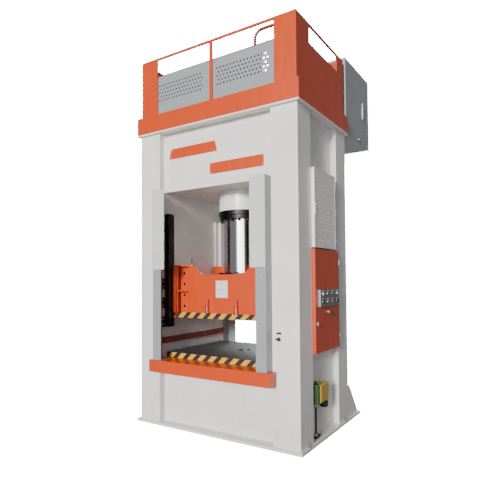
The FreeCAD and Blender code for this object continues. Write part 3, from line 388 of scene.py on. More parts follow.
class Piece:
    """One finished object, put together from shaped parts that each have a finish."""

    def __init__(self, name):
        self.name = name
        self.mesh = bmesh.new()
        self.finishes = []

    def take(self, part, finish):
        """Adds a shaped part in one finish."""
        if finish not in self.finishes:
            self.finishes.append(finish)
        for face in part.faces:
            face.material_index = self.finishes.index(finish)
        carrier = bpy.data.meshes.new("carrier")
        part.to_mesh(carrier)
        part.free()
        self.mesh.from_mesh(carrier)
        bpy.data.meshes.remove(carrier)
        return self

    def done(self, body, slot, replaces=(), smooth=46):
        """Makes the object, hangs it on the empty of the body that it rides and hides the frame nodes that it stands
        in for.
        """
        if not self.mesh.faces:
            raise RuntimeError(self.name + " has no faces")
        for face in self.mesh.faces:
            face.smooth = True
        for edge in self.mesh.edges:
            edge.smooth = edge.is_boundary or edge.calc_face_angle(0) < math.radians(smooth)
        data = bpy.data.meshes.new(self.name)
        self.mesh.to_mesh(data)
        self.mesh.free()
        for finish in self.finishes:
            data.materials.append(FINISH[finish])
        piece = bpy.data.objects.new(self.name, data)
        bpy.context.scene.collection.objects.link(piece)
        # wide faces keep their own normal and the rounding takes up the turn
        flat = piece.modifiers.new("Flat faces", "WEIGHTED_NORMAL")
        flat.keep_sharp, flat.weight = True, 80
        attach(piece, body)
        if replaces:
            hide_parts(*replaces)
        return piece


def eased(node, tail, width, finish, slot, body="frame", steps=2):
    """A piece that is one frame node with its edges rounded."""
    Piece(node + tail).take(softened(node, width, steps), finish).done(body, slot, (node,))


# --- values that a user would change ---

def paint(name, description, code):
    """A colour that the user can change."""
    return FloatVectorProperty(name=name, description=description, subtype="COLOR", size=4, min=0, max=1,
                               default=linear(code))


def length(name, description, value):
    """A length that the user can change, given in millimetres."""
    return FloatProperty(name=name, description=description, unit="LENGTH", default=value * MM)


class PressPaint(PropertyGroup):
    frame_white: paint("Frame white", "Enamel of the columns, crown and bed", "EDEBE6")
    accent_orange: paint("Accent orange", "Enamel of the slide, deck, guards and cabinet", "C83F00")
    guard_grey: paint("Guard grey", "Enamel of the guard posts and infill sheets", "8F9496")
    tank_grey: paint("Tank grey", "Enamel of the oil tank", "9EA2A4")
    edge_line: length("Edge line", "Height below which the deck's edge is white", box("deck")[0].z + 22)


class PressSizes(PropertyGroup):
    plate_round: length("Plate rounding", "Rounding of heavy plate edges", 4)
    sheet_round: length("Sheet rounding", "Rounding of thin sheet edges", 2)
    bead: length("Weld bead", "Radius of a weld bead", 7)
    stripe: length("Stripe", "Length of one black and yellow pair", 180)
    stripe_height: length("Stripe height", "Height of the striped bands", 80)
    paint_build: length("Paint build", "Thickness of the striped bands", 0.6)
    screw_gap: length("Screw spacing", "Spacing of the tank lid's screws", 145)
    key_power: FloatProperty(name="Key light", description="Strength of the key light", default=5.0, min=0)
    sky: FloatProperty(name="Surround", description="Brightness of the surround", default=0.27, min=0)


def size(name):
    """One of the user's lengths, in millimetres."""
    return getattr(bpy.context.scene.press_sizes, name) / MM


# --- frame ---

class PRESS_OT_finishes(Operator):
    """Makes the finishes and gives them to the frame nodes that keep their own mesh"""
    bl_idname = "press.finishes"
    bl_label = "Finishes"

    def execute(self, context):
        make_finishes(context.scene.press_paint)
        by_class = {"frame_paint": "white", "orange_paint": "orange", "grey_paint": "grey", "tank_paint": "tank",
                    "chrome": "chrome", "black_steel": "black_steel", "cast_table": "table", "gib_metal": "gib",
                    "plate_white": "label", "panel_grey": "anodised", "black_plastic": "black",
                    "red_plastic": "red", "green_plastic": "green_cap", "lamp_lens": "lens", "zinc": "zinc",
                    "lube_paint": "lube", "hose_rubber": "rubber"}
        for entry in frame["record"]["subparts"]:
            data = frame["nodes"][entry["node"]].data
            data.materials.clear()
            data.materials.append(FINISH[by_class[entry["material_slot"]]])
            for face in data.polygons:
                face.material_index = 0
        return {"FINISHED"}


class PRESS_OT_welded_frame(Operator):
    """The floor plate, columns, crown, bed and rear feet with their cut edges eased"""
    bl_idname = "press.welded_frame"
    bl_label = "Welded frame"

    def execute(self, context):
        for node in ("base_plate", "column_left", "column_right", "crown", "bed", "foot_gussets", "tank_brackets"):
            eased(node, "_plates", size("plate_round"), "white", "frame_paint")
        return {"FINISHED"}


class PRESS_OT_weld_seams(Operator):
    """Weld beads where the frame's plates meet"""
    bl_idname = "press.weld_seams"
    bl_label = "Weld seams"

    def execute(self, context):
        bead = size("bead")
        crown, bed, foot, floor = box("crown"), box("bed"), box("foot_gussets"), box("base_plate")[1].z
        # half the width of the recess in a column's side, how deep its web lies, and a rear gusset's width
        recess, deep, gusset = 425, 85, 160
        seams = Piece("frame_weld_seams")

        def run(start, end, share=1.0):
            seams.take(weld(start, end, bead * share), "white")

        for label, side in SIDES:
            x = crown[1].x * side
            for end in BOTH:
                y = crown[1].y * end
                for low, high in (crown, bed):
                    run((x, y, low.z), (x, y, high.z))
            low, high = box("column_" + label)
            far = high.x if side > 0 else low.x
            web = far - deep * side
            for y in (low.y, high.y):
                run((x, y, floor), (far, y, floor))
            for near_y, far_y in ((low.y, -recess), (recess, high.y)):
                run((far, near_y, floor), (far, far_y, floor))
            for y in (-recess, recess):
                run((web, y, floor), (web, y, high.z), 0.8)
            run((web, -recess, floor), (web, recess, floor))
        for end in BOTH:
            y = bed[1].y * end
            run((bed[0].x, y, floor), (bed[1].x, y, floor))
        for side in BOTH:
            for inset in (0, gusset):
                x = (foot[1].x - inset) * side
                run((x, foot[0].y, floor), (x, foot[1].y, floor), 0.9)
        seams.done("frame", "frame_paint")
        return {"FINISHED"}


class PRESS_OT_foot_screws(Operator):
    """Levelling screws with washers and lock nuts on the floor plate"""
    bl_idname = "press.foot_screws"
    bl_label = "Foot screws"

    def execute(self, context):
        low, high = box("anchor_bolts")
        tall = high.z - low.z
        thread = [(0, tall), (7, tall), (9, tall - 2)]
        thread += [(10 if step % 2 else 8.6, tall - (4 + 1.6 * step)) for step in range(14)]
        screws = Piece("foot_screws")
        for side, end in QUARTERS:
            foot = Vector(((high.x - 18) * side, (high.y - 15.6) * end, low.z))
            screws.take(disc(18, 3, foot, "z", 24, 1), "zinc")
            screws.take(hexagon(30, 15, foot + Vector((0, 0, 3)), "z", side * 0.3), "zinc")
            screws.take(turned(thread + [(9, 0), (0, 0)], foot, "z", 20), "zinc")
        screws.done("frame", "zinc", ("anchor_bolts",))
        return {"FINISHED"}


# --- deck, guards and tank ---

class PRESS_OT_deck(Operator):
    """The deck tray, orange down to its white lower edge, with the floor's drain plugs"""
    bl_idname = "press.deck"
    bl_label = "Deck"

    def execute(self, context):
        low, high = box("deck")
        deck = Piece("deck_tray").take(softened("deck", size("sheet_round")), "deck")
        for side, end in QUARTERS:
            spot = Vector((0.75 * high.x * side, 0.55 * high.y * end, low.z + 20))
            deck.take(hexagon(46, 22, spot), "zinc")
            deck.take(disc(36, 4, spot), "zinc")
        deck.done("frame", "orange_paint", ("deck",))
        return {"FINISHED"}


class PRESS_OT_guards(Operator):
    """Guard panels round the deck with their edge rivets, the pierced sheets' edging, and a black sheet behind them
    that paints shade into their holes
    """
    bl_idname = "press.guards"
    bl_label = "Guards"

    def execute(self, context):
        for node, way in (("guard_front", -1), ("guard_left", 0), ("guard_right", 0), ("guard_rear", 1)):
            panel = Piece(node + "_panel").take(softened(node, size("sheet_round")), "orange")
            low, high = box(node)
            if way:
                for x in (low.x + 10, high.x - 10):
                    for share in (0.08, 0.36, 0.64, 0.92):
                        spot = (x, low.y if way < 0 else high.y, low.z + (high.z - low.z) * share)
                        panel.take(disc(8, 4, spot, OUT[way], 16), "orange")
            panel.done("frame", "orange_paint", (node,))
        for label, side in SIDES:
            node = "infill_" + label
            low, high = box(node)
            inner = high.x if side < 0 else low.x
            lips = Piece(node + "_edging")
            lips.take(slab((low.x, low.y, high.z - 14), (high.x, high.y + 12, high.z), 2), "grey")
            lips.take(slab((inner - 0.5, high.y, low.z), (inner + 0.5, high.y + 12, high.z)), "grey")
            lips.done("frame", "grey_paint")
            near, far = sorted((65 * side, (800 if side > 0 else 970) * side))
            # a black sheet just behind the pierced sheet, painted shade that makes its holes look dark
            shade_sheet = Piece(node + "_lining")
            shade_sheet.take(slab((near, high.y + 0.5, low.z + 180), (far, high.y + 9, low.z + 500), 3), "painted_shade_black")
            shade_sheet.done("frame", "black_plastic")
        return {"FINISHED"}


class PRESS_OT_handrail(Operator):
    """The bent tube at the deck's right window, with a foot flange and a wall flange"""
    bl_idname = "press.handrail"
    bl_label = "Handrail"

    def execute(self, context):
        low, high = box("handrail")
        tube, middle = (high.y - low.y) / 2, (high.y + low.y) / 2
        top, across, bend = box("guard_front")[1].z - 55, 660, 110
        straight = {"cent": (0, 0, 0), "axis": (0, 0, 1), "angle": 0, "steps": 1}
        part = bmesh.new()
        geom = ring_at(part, tube, at((across, middle, low.z)), 20)
        geom = bmesh.ops.spin(part, geom=geom, dvec=(0, 0, (top - bend - low.z) * MM), **straight)["geom_last"]
        geom = bmesh.ops.spin(part, geom=geom, cent=Vector((across + bend, middle, top - bend)) * MM,
                              axis=(0, 1, 0), angle=math.pi / 2, steps=14, dvec=(0, 0, 0))["geom_last"]
        bmesh.ops.spin(part, geom=geom, dvec=((high.x - across - bend) * MM, 0, 0), **straight)
        # the tube and both flanges are painted a darker red-brown orange: painted shade
        rail = Piece("handrail_tube").take(close_ends(part), "shaded_orange")
        flange = [(tube, 8), (tube + 20, 8), (tube + 22, 6), (tube + 22, 0), (tube, 0), (tube, 8)]
        rail.take(turned(flange, (across, middle, low.z)), "shaded_orange")
        rail.take(turned([(radius, -height) for radius, height in flange], (high.x, middle, top), "x"), "shaded_orange")
        rail.done("frame", "orange_paint", ("handrail",))
        return {"FINISHED"}


class PRESS_OT_tank(Operator):
    """The oil tank with seams, a screwed lid, a manhole's ring of screws, a level glass and a plug"""
    bl_idname = "press.tank"
    bl_label = "Oil tank"

    def execute(self, context):
        low, high = box("oil_tank")
        bead = 4
        tank = Piece("oil_tank_shell").take(softened("oil_tank", size("sheet_round")), "tank")
        for x in (low.x, high.x):
            for y in (low.y, high.y - 1.2 * bead):
                tank.take(weld((x, y, low.z + bead), (x, y, high.z), bead), "tank")
        tank.done("frame", "tank_paint", ("oil_tank",))

        lid_low, lid_high = box("tank_lid")
        plate = lid_low.z + 12
        lid = Piece("tank_lid_cover").take(softened("tank_lid", 2), "tank")
        for spot in circle(12, 225, plate + 2, y=(lid_low.y + lid_high.y) / 2):
            lid.take(hexagon(19, 6, spot), "zinc")
        reach = lid_high.x - lid_low.x - 60
        count = int(reach / size("screw_gap"))
        for step in range(count + 1):
            for y in (lid_low.y + 25, lid_high.y - 25):
                lid.take(hexagon(17, 7, (lid_low.x + 30 + reach * step / count, y, plate)), "zinc")
        lid.done("frame", "tank_paint", ("tank_lid",))

        x, y, z = high.x, low.y + 0.72 * (high.y - low.y), (low.z + high.z) / 2
        glass = Piece("tank_level_glass")
        glass.take(slab((x - 1, y - 22, z - 130), (x + 10, y + 22, z + 130), 3), "stainless")
        glass.take(slab((x + 9, y - 9, z - 95), (x + 13, y + 9, z + 95), 3), "lens")
        for way in BOTH:
            glass.take(cap_screw(8, 6, (x + 10, y, z + way * 113), "x"), "zinc")
        plug = [(0, 22), (24, 22), (27, 18), (27, 6), (34, 6), (34, 0), (0, 0)]
        glass.take(turned(plug, (x - 1, y - 200, low.z + 60), "x"), "zinc")
        glass.done("frame", "zinc")
        return {"FINISHED"}


# --- ram and slide ---

class PRESS_OT_ram(Operator):
    """The cylinder, its retainer with a ring of screws, the chromed ram and its clamp ring"""
    bl_idname = "press.ram"
    bl_label = "Ram"

    def execute(self, context):
        low, high = box("barrel")
        foot, top, flange = low.z, high.z, box("crown")[0].z + 40
        seat, outer, inner = flange + 60, 350, 286.06
        barrel = Piece("cylinder_barrel")
        barrel.take(turned([
            (inner, foot), (outer - 3, foot), (outer, foot + 3), (outer, flange), (high.x, flange), (high.x, seat),
            (outer, seat), (outer, top - 6), (outer - 6, top), (0, top), (0, top - 60), (inner, top - 60),
            (inner, foot)], steps=96), "white")
        for spot in circle(16, 380, seat, 0.5):
            barrel.take(cap_screw(16, 20, spot, "z"), "black_steel")
        barrel.take(disc(30, 30, (0, 0, top - 1)), "zinc")
        barrel.done("frame", "frame_paint", ("barrel",))

        foot, top = box("gland_ring")[0].z + 26, box("gland_ring")[1].z
        step, lip, neck = (foot + top) / 2, 358, 342
        ring = Piece("cylinder_retainer")
        ring.take(turned([
            (inner, foot + 4), (inner + 5, foot), (neck - 4, foot), (neck, foot + 4), (neck, step - 3),
            (lip - 3, step - 3), (lip, step), (lip, top - 3), (lip - 3, top), (inner, top), (inner, foot + 4)],
            steps=96), "black_steel")
        for spot in circle(16, 322, foot):
            ring.take(cap_screw(18, 26, spot, "-z"), "black_steel")
        ring.done("frame", "black_steel", ("gland_ring",))

        low, high = box("rod")
        foot, top, radius = low.z, high.z, high.x
        rod = Piece("ram_rod")
        rod.take(turned([(0, foot), (radius - 12, foot), (radius, foot + 12), (radius, top - 12),
                         (radius - 12, top), (0, top)], steps=128), "chrome")
        rod.done("slide", "chrome", ("rod",))

        low, high = box("rod_flange")
        foot, top, rim = low.z, high.z, 380
        clamp = Piece("ram_clamp_ring")
        clamp.take(turned([
            (radius + 1, foot), (rim, foot), (rim, top - 8), (rim - 8, top), (radius + 3, top),
            (radius + 1, top - 2), (radius + 1, foot)], steps=96), "black_steel")
        for spot in circle(12, 336, top, 0.5):
            clamp.take(cap_screw(15, 18, spot, "z"), "black_steel")
        clamp.done("slide", "black_steel", ("rod_flange",))
        return {"FINISHED"}


def striped(piece, left, right, y, way, bottom, top):
    """Paints slanted stripes on a face at y: one thin strip cut at every stripe, its colours in turn."""
    half, build = size("stripe") / 2, size("paint_build")
    band = slab((left, y - build if way < 0 else y, bottom), (right, y if way < 0 else y + build, top))
    start = left - (top - bottom)
    for step in range(int((right - start) / half) + 2):
        bmesh.ops.bisect_plane(band, geom=band.verts[:] + band.edges[:] + band.faces[:], dist=1e-6,
                               plane_co=Vector((start + step * half, y, bottom)) * MM,
                               plane_no=Vector((1, 0, -1)).normalized())
    for finish, odd in (("stripe_black", 0), ("stripe_yellow", 1)):
        part, drop = band.copy(), []
        for face in part.faces:
            centre = face.calc_center_median() / MM
            if math.floor((centre.x - (centre.z - bottom) - start) / half) % 2 != odd:
                drop.append(face)
        bmesh.ops.delete(part, geom=drop, context="FACES")
        piece.take(part, finish)
    band.free()


class PRESS_OT_slide(Operator):
    """The slide with its shoe screws, striped lower edge, lifting pin, blank label, lug bolts and seams"""
    bl_idname = "press.slide"
    bl_label = "Slide"

    def execute(self, context):
        low, high = box("slide")
        # the beam's face, and the face, inner edge and outer side of the shoes
        face, shoe_face, shoe_edge, shoe_side = 550, 599.5, 805, 846
        bead, sole = 5, low.z + 80
        body = Piece("slide_beam").take(softened("slide", 3), "orange")
        for end, side in QUARTERS:
            x, y, back = shoe_edge * side, face * end, (face - 80) * end
            body.take(weld((600 * side, back, sole), (x, back, sole), bead), "orange")
            body.take(weld((x, y, sole), (x, y, high.z - 30), bead), "orange")
        body.done("slide", "orange_paint", ("slide",))

        first, last = box("slide_bolts")
        screws = Piece("slide_shoe_screws")
        for side, end in QUARTERS:
            for row in range(4):
                z = first.z + 16 + (last.z - first.z - 32) * row / 3
                spot = ((last.x - 16) * side, 470 * end, z)
                screws.take(cap_screw(16, 20, spot, OUT[end]), "black_steel")
                screws.take(disc(25, 3, spot, OUT[end], 20, 1), "zinc")
        screws.done("slide", "black_steel", ("slide_bolts",))

        stripes = Piece("slide_striped_edge")
        for left, right, y in ((1 - shoe_edge, shoe_edge - 1, face), (-shoe_side, -shoe_edge, shoe_face),
                               (shoe_edge, shoe_side, shoe_face)):
            for end in BOTH:
                striped(stripes, left, right, y * end, end, low.z + 1, low.z + size("stripe_height"))
        stripes.done("slide", "orange_paint")

        foot = Vector((-545, 20 - face, high.z - 19))
        pin = Piece("slide_lifting_pin").take(round_bar(foot, foot + Vector((0, 0, 110)), 7), "black_steel")
        pin.take(hexagon(15, 12, foot), "zinc")
        pin.done("slide", "black_steel")

        low, high = box("slide_label")
        middle = (low.z + high.z) / 2
        label = Piece("slide_label_plate").take(slab(low, high, 1.2), "label")
        label.take(slab((low.x + 14, low.y - 0.4, middle - 5), (high.x - 14, low.y + 1, middle + 5)), "label_band")
        for x in (low.x + 10, high.x - 10):
            for z in (low.z + 10, high.z - 10):
                label.take(turned([(0, 2.4), (2.5, 2), (4, 0), (0, 0)], (x, low.y, z), "-y", 12), "zinc")
        label.done("slide", "plate_white", ("slide_label",))

        bolts = Piece("slide_lug_bolts")
        for side in BOTH:
            x, y = 245 * side, -face - 22
            bolts.take(round_bar((x, y, sole + 6), (x, y, sole + 100), 9), "zinc")
            bolts.take(hexagon(22, 14, (x, y, sole + 40)), "zinc")
        bolts.done("slide", "black_steel")
        return {"FINISHED"}


# --- guides, table, sills and posts ---

class PRESS_OT_guides(Operator):
    """Gibs with eased edges and their adjusting blocks, each with a screw and lock nut"""
    bl_idname = "press.guides"
    bl_label = "Guides"

    def execute(self, context):
        for end, finish, slot in (("front", "gib", "gib_metal"), ("rear", "white", "frame_paint")):
            for label, side in SIDES:
                eased("gib_%s_%s" % (end, label), "_bar", 2, finish, slot)
        low, high = box("gib_blocks")
        rows, pitch, sunk = 6, 275, 4.5
        blocks = Piece("gib_adjusters").take(softened("gib_blocks", 3), "gib")
        for z in [low.z + row * pitch + lift for row in range(rows) for lift in (38, 112)]:
            for side, end in QUARTERS:
                spot = Vector(((high.x - 22) * side, high.y * end, z))
                blocks.take(hexagon(24, 5, spot, OUT[end]), "zinc")
                spot.y -= sunk * end
                blocks.take(cap_screw(7, 4.6 + sunk, spot, OUT[end]), "black_steel")
        blocks.done("frame", "gib_metal", ("gib_blocks",))
        return {"FINISHED"}


class PRESS_OT_table(Operator):
    """The ground table plate with striped front and rear edges and an eased ejector hole"""
    bl_idname = "press.table"
    bl_label = "Table"

    def execute(self, context):
        low, high = box("bolster")
        Piece("table_plate").take(softened("bolster", 2.5), "table").done("frame", "cast_table", ("bolster",))
        stripes = Piece("table_striped_edges")
        for y, way in ((low.y, -1), (high.y, 1)):
            striped(stripes, low.x + 4, high.x - 4, y, way, high.z - size("stripe_height"), high.z - 3)
        stripes.done("frame", "cast_table")
        return {"FINISHED"}


class PRESS_OT_opening_guards(Operator):
    """Sills, guard posts and post covers of the front and rear openings, and the rails between them"""
    bl_idname = "press.opening_guards"
    bl_label = "Opening guards"

    def execute(self, context):
        for end, way in ENDS:
            eased("sill_" + end, "_channel", 3, "orange", "orange_paint")
            for label, side in SIDES:
                node = "post_%s_%s" % (end, label)
                low, high = box(node)
                post = Piece(node + "_tube").take(softened(node, 4, 3), "grey")
                post.take(slab((low.x, low.y + 6, low.z), (high.x, high.y - 6, low.z + 6), 1), "grey")
                x, y = (low.x + high.x) / 2, low.y if way < 0 else high.y
                for lift in (60, 620, 1160):
                    post.take(disc(8, 3, (x, y, low.z + lift), OUT[way], 14, 2, 1.5), "zinc")
                post.done("frame", "grey_paint", (node,))
        for label, side in SIDES:
            node = "cover_" + label
            low, high = box(node)
            shell = Piece(node + "_shell").take(softened(node, 3), "cover")
            for z in (low.z + 50, (low.z + high.z) / 2, high.z - 50):
                for x in (low.x + 30, high.x - 30):
                    shell.take(disc(7, 3, (x, low.y, z), "-y", 14, 2, 1.5), "zinc")
            shell.done("frame", "grey_paint", (node,))
            node = "side_rail_" + label
            low, high = box(node)
            x, z = low.x - 1 if side > 0 else high.x, (low.z + high.z) / 2
            # the rail is painted a darker red-brown orange: painted shade
            rail = Piece(node + "_bar").take(softened(node, 3), "shaded_orange")
            for y in (-660, -220, 220, 660):
                rail.take(turned([(0, 1), (11, 1), (11, 0), (0, 0)], (x, y, z), "x", 18), "zinc")
            rail.done("frame", "orange_paint", (node,))
        return {"FINISHED"}


class PRESS_OT_plates(Operator):
    """The two blank plates on the crown, each with rivets"""
    bl_idname = "press.plates"
    bl_label = "Blank plates"

    def execute(self, context):
        low, high = box("name_plates")
        # where the upper plate ends and the lower plate begins
        upper_end, lower_start = 35, -90
        plates = Piece("crown_blank_plates").take(softened("name_plates", 1.5), "orange")
        spots = [(low.x + 45, high.z - 130), (low.x + 55, high.z - 18),
                 (upper_end - 45, high.z - 130), (upper_end - 55, high.z - 18)]
        spots += [(x, z) for x in (lower_start + 18, high.x - 18) for z in (low.z + 18, low.z + 134)]
        for x, z in spots:
            plates.take(turned([(0, 3), (4, 2.4), (7, 0), (0, 0)], (x, low.y, z), "-y", 14), "zinc")
        plates.done("frame", "orange_paint", ("name_plates",))
        return {"FINISHED"}


class PRESS_OT_lifting_eye(Operator):
    """The forged eye on the left column, with its collar"""
    bl_idname = "press.lifting_eye"
    bl_label = "Lifting eye"

    def execute(self, context):
        low, high = box("side_hook")
        x, y, z = high.x - 45, (low.y + high.y) / 2, (low.z + high.z) / 2
        thick, radius = (high.y - low.y) / 2, 31
        turns = [math.tau * step / 12 for step in range(13)]
        section = [(radius + 0.798 * thick * math.cos(turn), thick * math.sin(turn)) for turn in turns]
        eye = Piece("column_lifting_eye").take(turned(section, (x, y, z), "y", 40), "grey")
        eye.take(round_bar((x + radius - 4, y, z), (high.x, y, z), 12), "grey")
        eye.take(disc(24, 8, (high.x - 8, y, z), "x", 24), "grey")
        eye.done("frame", "frame_paint", ("side_hook",))
        return {"FINISHED"}


class PRESS_OT_switch(Operator):
    """The small turning switch on the right column with a blank tag above it"""
    bl_idname = "press.switch"
    bl_label = "Column switch"

    def execute(self, context):
        low, high = box("switch_base")
        bore, centre = 8.05, ((low.x + high.x) / 2, high.y, 1338)
        base = Piece("switch_rosette")
        base.take(turned([(bore, 0), (26, 0), (26, 9), (23, 12), (10, 12), (bore, 11), (bore, 0)],
                         centre, "-y", 40), "black")
        base.take(slab((low.x, high.y - 4, high.z - 26), (high.x, high.y, high.z), 1), "black")
        base.done("frame", "black_plastic", ("switch_base",))
        knob = Piece("switch_lever").take(softened("switch_knob", 2, 3), "black")
        knob.done("switch_knob", "black_plastic", ("switch_knob",))
        return {"FINISHED"}


# --- cabinets on the right column ---

class PRESS_OT_cabinets(Operator):
    """The cabinet boxes with mounting plates and wiring ducts, their doors, hinges and latch"""
    bl_idname = "press.cabinets"
    bl_label = "Cabinets"

    def execute(self, context):
        for node, finish, slot, rows in (("control_cabinet", "orange", "orange_paint", 4),
                                         ("vent_box", "white", "frame_paint", 3)):
            low, high = box(node)
            plate, rail = low.x + 10, low.x + 18
            shell = Piece(node + "_box").take(softened(node, 1.5), finish)
            shell.take(slab((plate, low.y + 40, low.z + 45), (rail, high.y - 40, high.z - 45), 1), "zinc")
            reach = high.z - low.z - 150
            for row in range(rows + 1):
                z = low.z + 60 + reach * row / rows
                shell.take(slab((rail, low.y + 55, z), (plate + 52, high.y - 55, z + 30), 2), "grey")
                if row == rows:
                    break
                middle = z + 30 + (reach / rows - 30) / 2
                shell.take(slab((rail, low.y + 70, middle - 17), (plate + 15, high.y - 70, middle + 17), 1), "zinc")
                count = 7 + row
                step = (high.y - low.y - 200) / count
                for item in range(count):
                    y, pale = low.y + 90 + step * item, (item + row) % 3
                    shell.take(slab((plate + 15, y, middle - 42),
                                    (plate + (62 if pale else 74), y + step * 0.86, middle + 42), 2),
                               "white_cap" if pale else "black")
            shell.done("frame", slot, (node,))
        for node in ("cabinet_door", "vent_door"):
            low, high = box(node)
            x, y = high.x - 1, high.y + 7
            hinge = Piece(node + "_hinge_knuckles")
            for share in (0.12, 0.5, 0.88):
                z = low.z + (high.z - low.z) * share
                hinge.take(round_bar((x, y, z - 32), (x, y, z + 32), 6), "zinc")
            hinge.done("frame", "zinc")

        low, high = box("cabinet_door")
        door = Piece("cabinet_door_leaf").take(softened("cabinet_door", 2.5), "orange")
        outer, inner = 14, 18
        y0, y1, z0, z1 = low.y + outer, high.y - outer, low.z + outer, high.z - outer
        for seal in ((y0, y1, z0, low.z + inner), (y0, y1, high.z - inner, z1),
                     (y0, low.y + inner, z0, z1), (high.y - inner, y1, z0, z1)):
            door.take(slab((low.x - 0.3, seal[0], seal[2]), (low.x + 1, seal[1], seal[3])), "rubber")
        door.done("cabinet_door", "orange_paint", ("cabinet_door",))

        low, high = box("vent_door")
        rim = Piece("vent_door_rim")
        # the rim stops short of the hinge edge by swing, so that it clears the knuckles when the door opens
        lip, proud, swing = 34, 2.5, 8
        y0, y1, z0, z1 = low.y, high.y - swing, low.z + lip, high.z - lip
        for strip in ((y0, y1, low.z, z0), (y0, y1, z1, high.z), (y0, low.y + lip, z0, z1),
                      (high.y - lip, y1, z0, z1)):
            rim.take(slab((high.x - 1, strip[0], strip[2]), (high.x + proud, strip[1], strip[3]), 1), "white")
        rim.take(slab((high.x, low.y + 12, 2880), (high.x + 9, low.y + 26, 3020), 3), "zinc")
        rim.done("vent_door", "frame_paint")
        latch = Piece("cabinet_latch").take(softened("door_lock", 1.5, 3), "zinc")
        latch.done("door_lock", "zinc", ("door_lock",))
        return {"FINISHED"}


class PRESS_OT_controls(Operator):
    """The control panel with bezels and blank legends, lamps, selectors, buttons and the stop button"""
    bl_idname = "press.controls"
    bl_label = "Controls"

    def execute(self, context):
        low, high = box("control_plate")
        face = high.x
        bezel = [(21.5, 0), (27, 0), (27, 3), (25, 5), (21.5, 5), (21.5, 0)]
        panel = Piece("control_panel_plate").take(softened("control_plate", 2), "anodised")
        spots = [sum(box(node), Vector()) / 2 for node in
                 ("selector_left", "selector_right", "button_1", "button_2", "button_3", "button_4")]
        lamps = box("indicator_lamps")
        lamp_z = (lamps[0].z + lamps[1].z) / 2
        lamp_y = (lamps[0].y + 20, lamps[1].y - 20)
        for y, z in [(spot.y, spot.z) for spot in spots] + [(y, lamp_z) for y in lamp_y]:
            panel.take(turned(bezel, (face, y, z), "x", 28), "stainless")
            panel.take(slab((face - 0.5, y - 24, z + 30), (face + 1, y + 24, z + 43), 0.4), "label")
        for y in (low.y + 14, high.y - 14):
            for z in (high.z - 14, high.z - 199):
                panel.take(cap_screw(5, 3, (face, y, z), "x"), "zinc")
        stop_low, stop_high = box("emergency_stop")
        stop = (face, (stop_low.y + stop_high.y) / 2, (stop_low.z + stop_high.z) / 2)
        panel.take(turned([(12, 0), (39, 0), (39, 1.2), (12, 1.2), (12, 0)], stop, "x", 40), "stripe_yellow")
        panel.done("cabinet_door", "panel_grey", ("control_plate",))

        lights = Piece("panel_lamp_lenses")
        for y in lamp_y:
            lights.take(turned([(0, 16), (8, 15), (15, 12), (19, 6), (20, 0), (0, 0)], (face, y, lamp_z), "x"),
                        "lens")
        lights.done("cabinet_door", "lamp_lens", ("indicator_lamps",))

        for node in ("selector_left", "selector_right"):
            eased(node, "_knob", 1.5, "black", "black_plastic", node, 3)
        for node, finish, slot in (("button_1", "black", "black_plastic"), ("button_2", "green_cap", "green_plastic"),
                                   ("button_3", "red", "red_plastic"), ("button_4", "black", "black_plastic")):
            low, high = box(node)
            top, foot = high.x - face, low.x - face
            cap = [(0, top - 1.5), (12, top - 1), (18, top), (20.5, top - 1), (21, top - 3), (21, 7), (8, 7),
                   (8, foot), (0, foot)]
            button = Piece(node + "_cap")
            button.take(turned(cap, (face, (low.y + high.y) / 2, (low.z + high.z) / 2), "x", 36), finish)
            button.done(node, slot, (node,))
        top, foot = stop_high.x - face, stop_low.x - face
        mushroom = Piece("stop_button_cap")
        mushroom.take(turned([
            (0, top), (14, top - 0.6), (25, top - 2.5), (32, top - 6), (34, top - 10), (32, 9.5), (18, 8.5),
            (8, 8.5), (8, foot), (0, foot)], stop, "x", 48), "red")
        mushroom.done("emergency_stop", "red_plastic", ("emergency_stop",))
        return {"FINISHED"}


class PRESS_OT_lubrication(Operator):
    """The lubrication pump, its reservoir and finned motor, and the drain hose to a floor fitting"""
    bl_idname = "press.lubrication"
    bl_label = "Lubrication"

    def execute(self, context):
        low, high = box("lube_unit")
        # the pump housing's sides, floor and lid, and the drum's axis
        near, far, floor, lid = -215, 55, 470, 700
        x, y = low.x + 44, -270
        unit = Piece("lube_pump_unit")
        unit.take(slab((low.x, near, floor), (high.x, far, lid), 8, 3), "lube")
        unit.take(slab((high.x - 1, near + 15, floor + 15), (high.x + 3, far - 15, lid - 15), 1.5), "lube")
        for screw_y in (near + 25, far - 25):
            for screw_z in (floor + 25, lid - 25):
                unit.take(cap_screw(6, 5, (high.x + 2, screw_y, screw_z), "x"), "zinc")
        unit.take(slab((low.x, y, floor + 20), (low.x + 30, near, lid - 20), 2), "lube")
        top = high.z - floor
        unit.take(turned([(0, 0), (40, 0), (44, 4), (44, top - 46), (40, top - 40), (0, top - 40)],
                         (x, y, floor), "z", 40), "green")
        unit.take(turned([(0, top), (17, top), (20, top - 3), (20, top - 34), (30, top - 36), (30, top - 41),
                          (0, top - 41)], (x, y, floor), "z", 28), "black")
        core, motor = 46, 52
        profile = [(0, 0), (core, 0)]
        for lift in [10 + 7.5 * fin for fin in range(8)]:
            profile += [(core, lift), (motor, lift), (motor, lift + 3.5), (core, lift + 3.5)]
        profile += [(core, 78), (38, 84), (0, 84)]
        unit.take(turned(profile, (low.x, far - motor, floor - 48), "x", 40), "black")
        unit.done("frame", "lube_paint", ("lube_unit",))

        low, high = box("lube_hose")
        foot = 75
        hose = Piece("lube_drain_line").take(round_bar((x, y, foot), (x, y, floor), 13, 20), "rubber")
        for z in (foot, floor - 30):
            hose.take(hexagon(34, 26, (x, y, z)), "zinc")
        hose.take(slab((low.x, low.y, low.z), (high.x, high.y, foot), 5, 3), "black")
        hose.done("frame", "hose_rubber", ("lube_hose",))
        return {"FINISHED"}


# --- stage ---

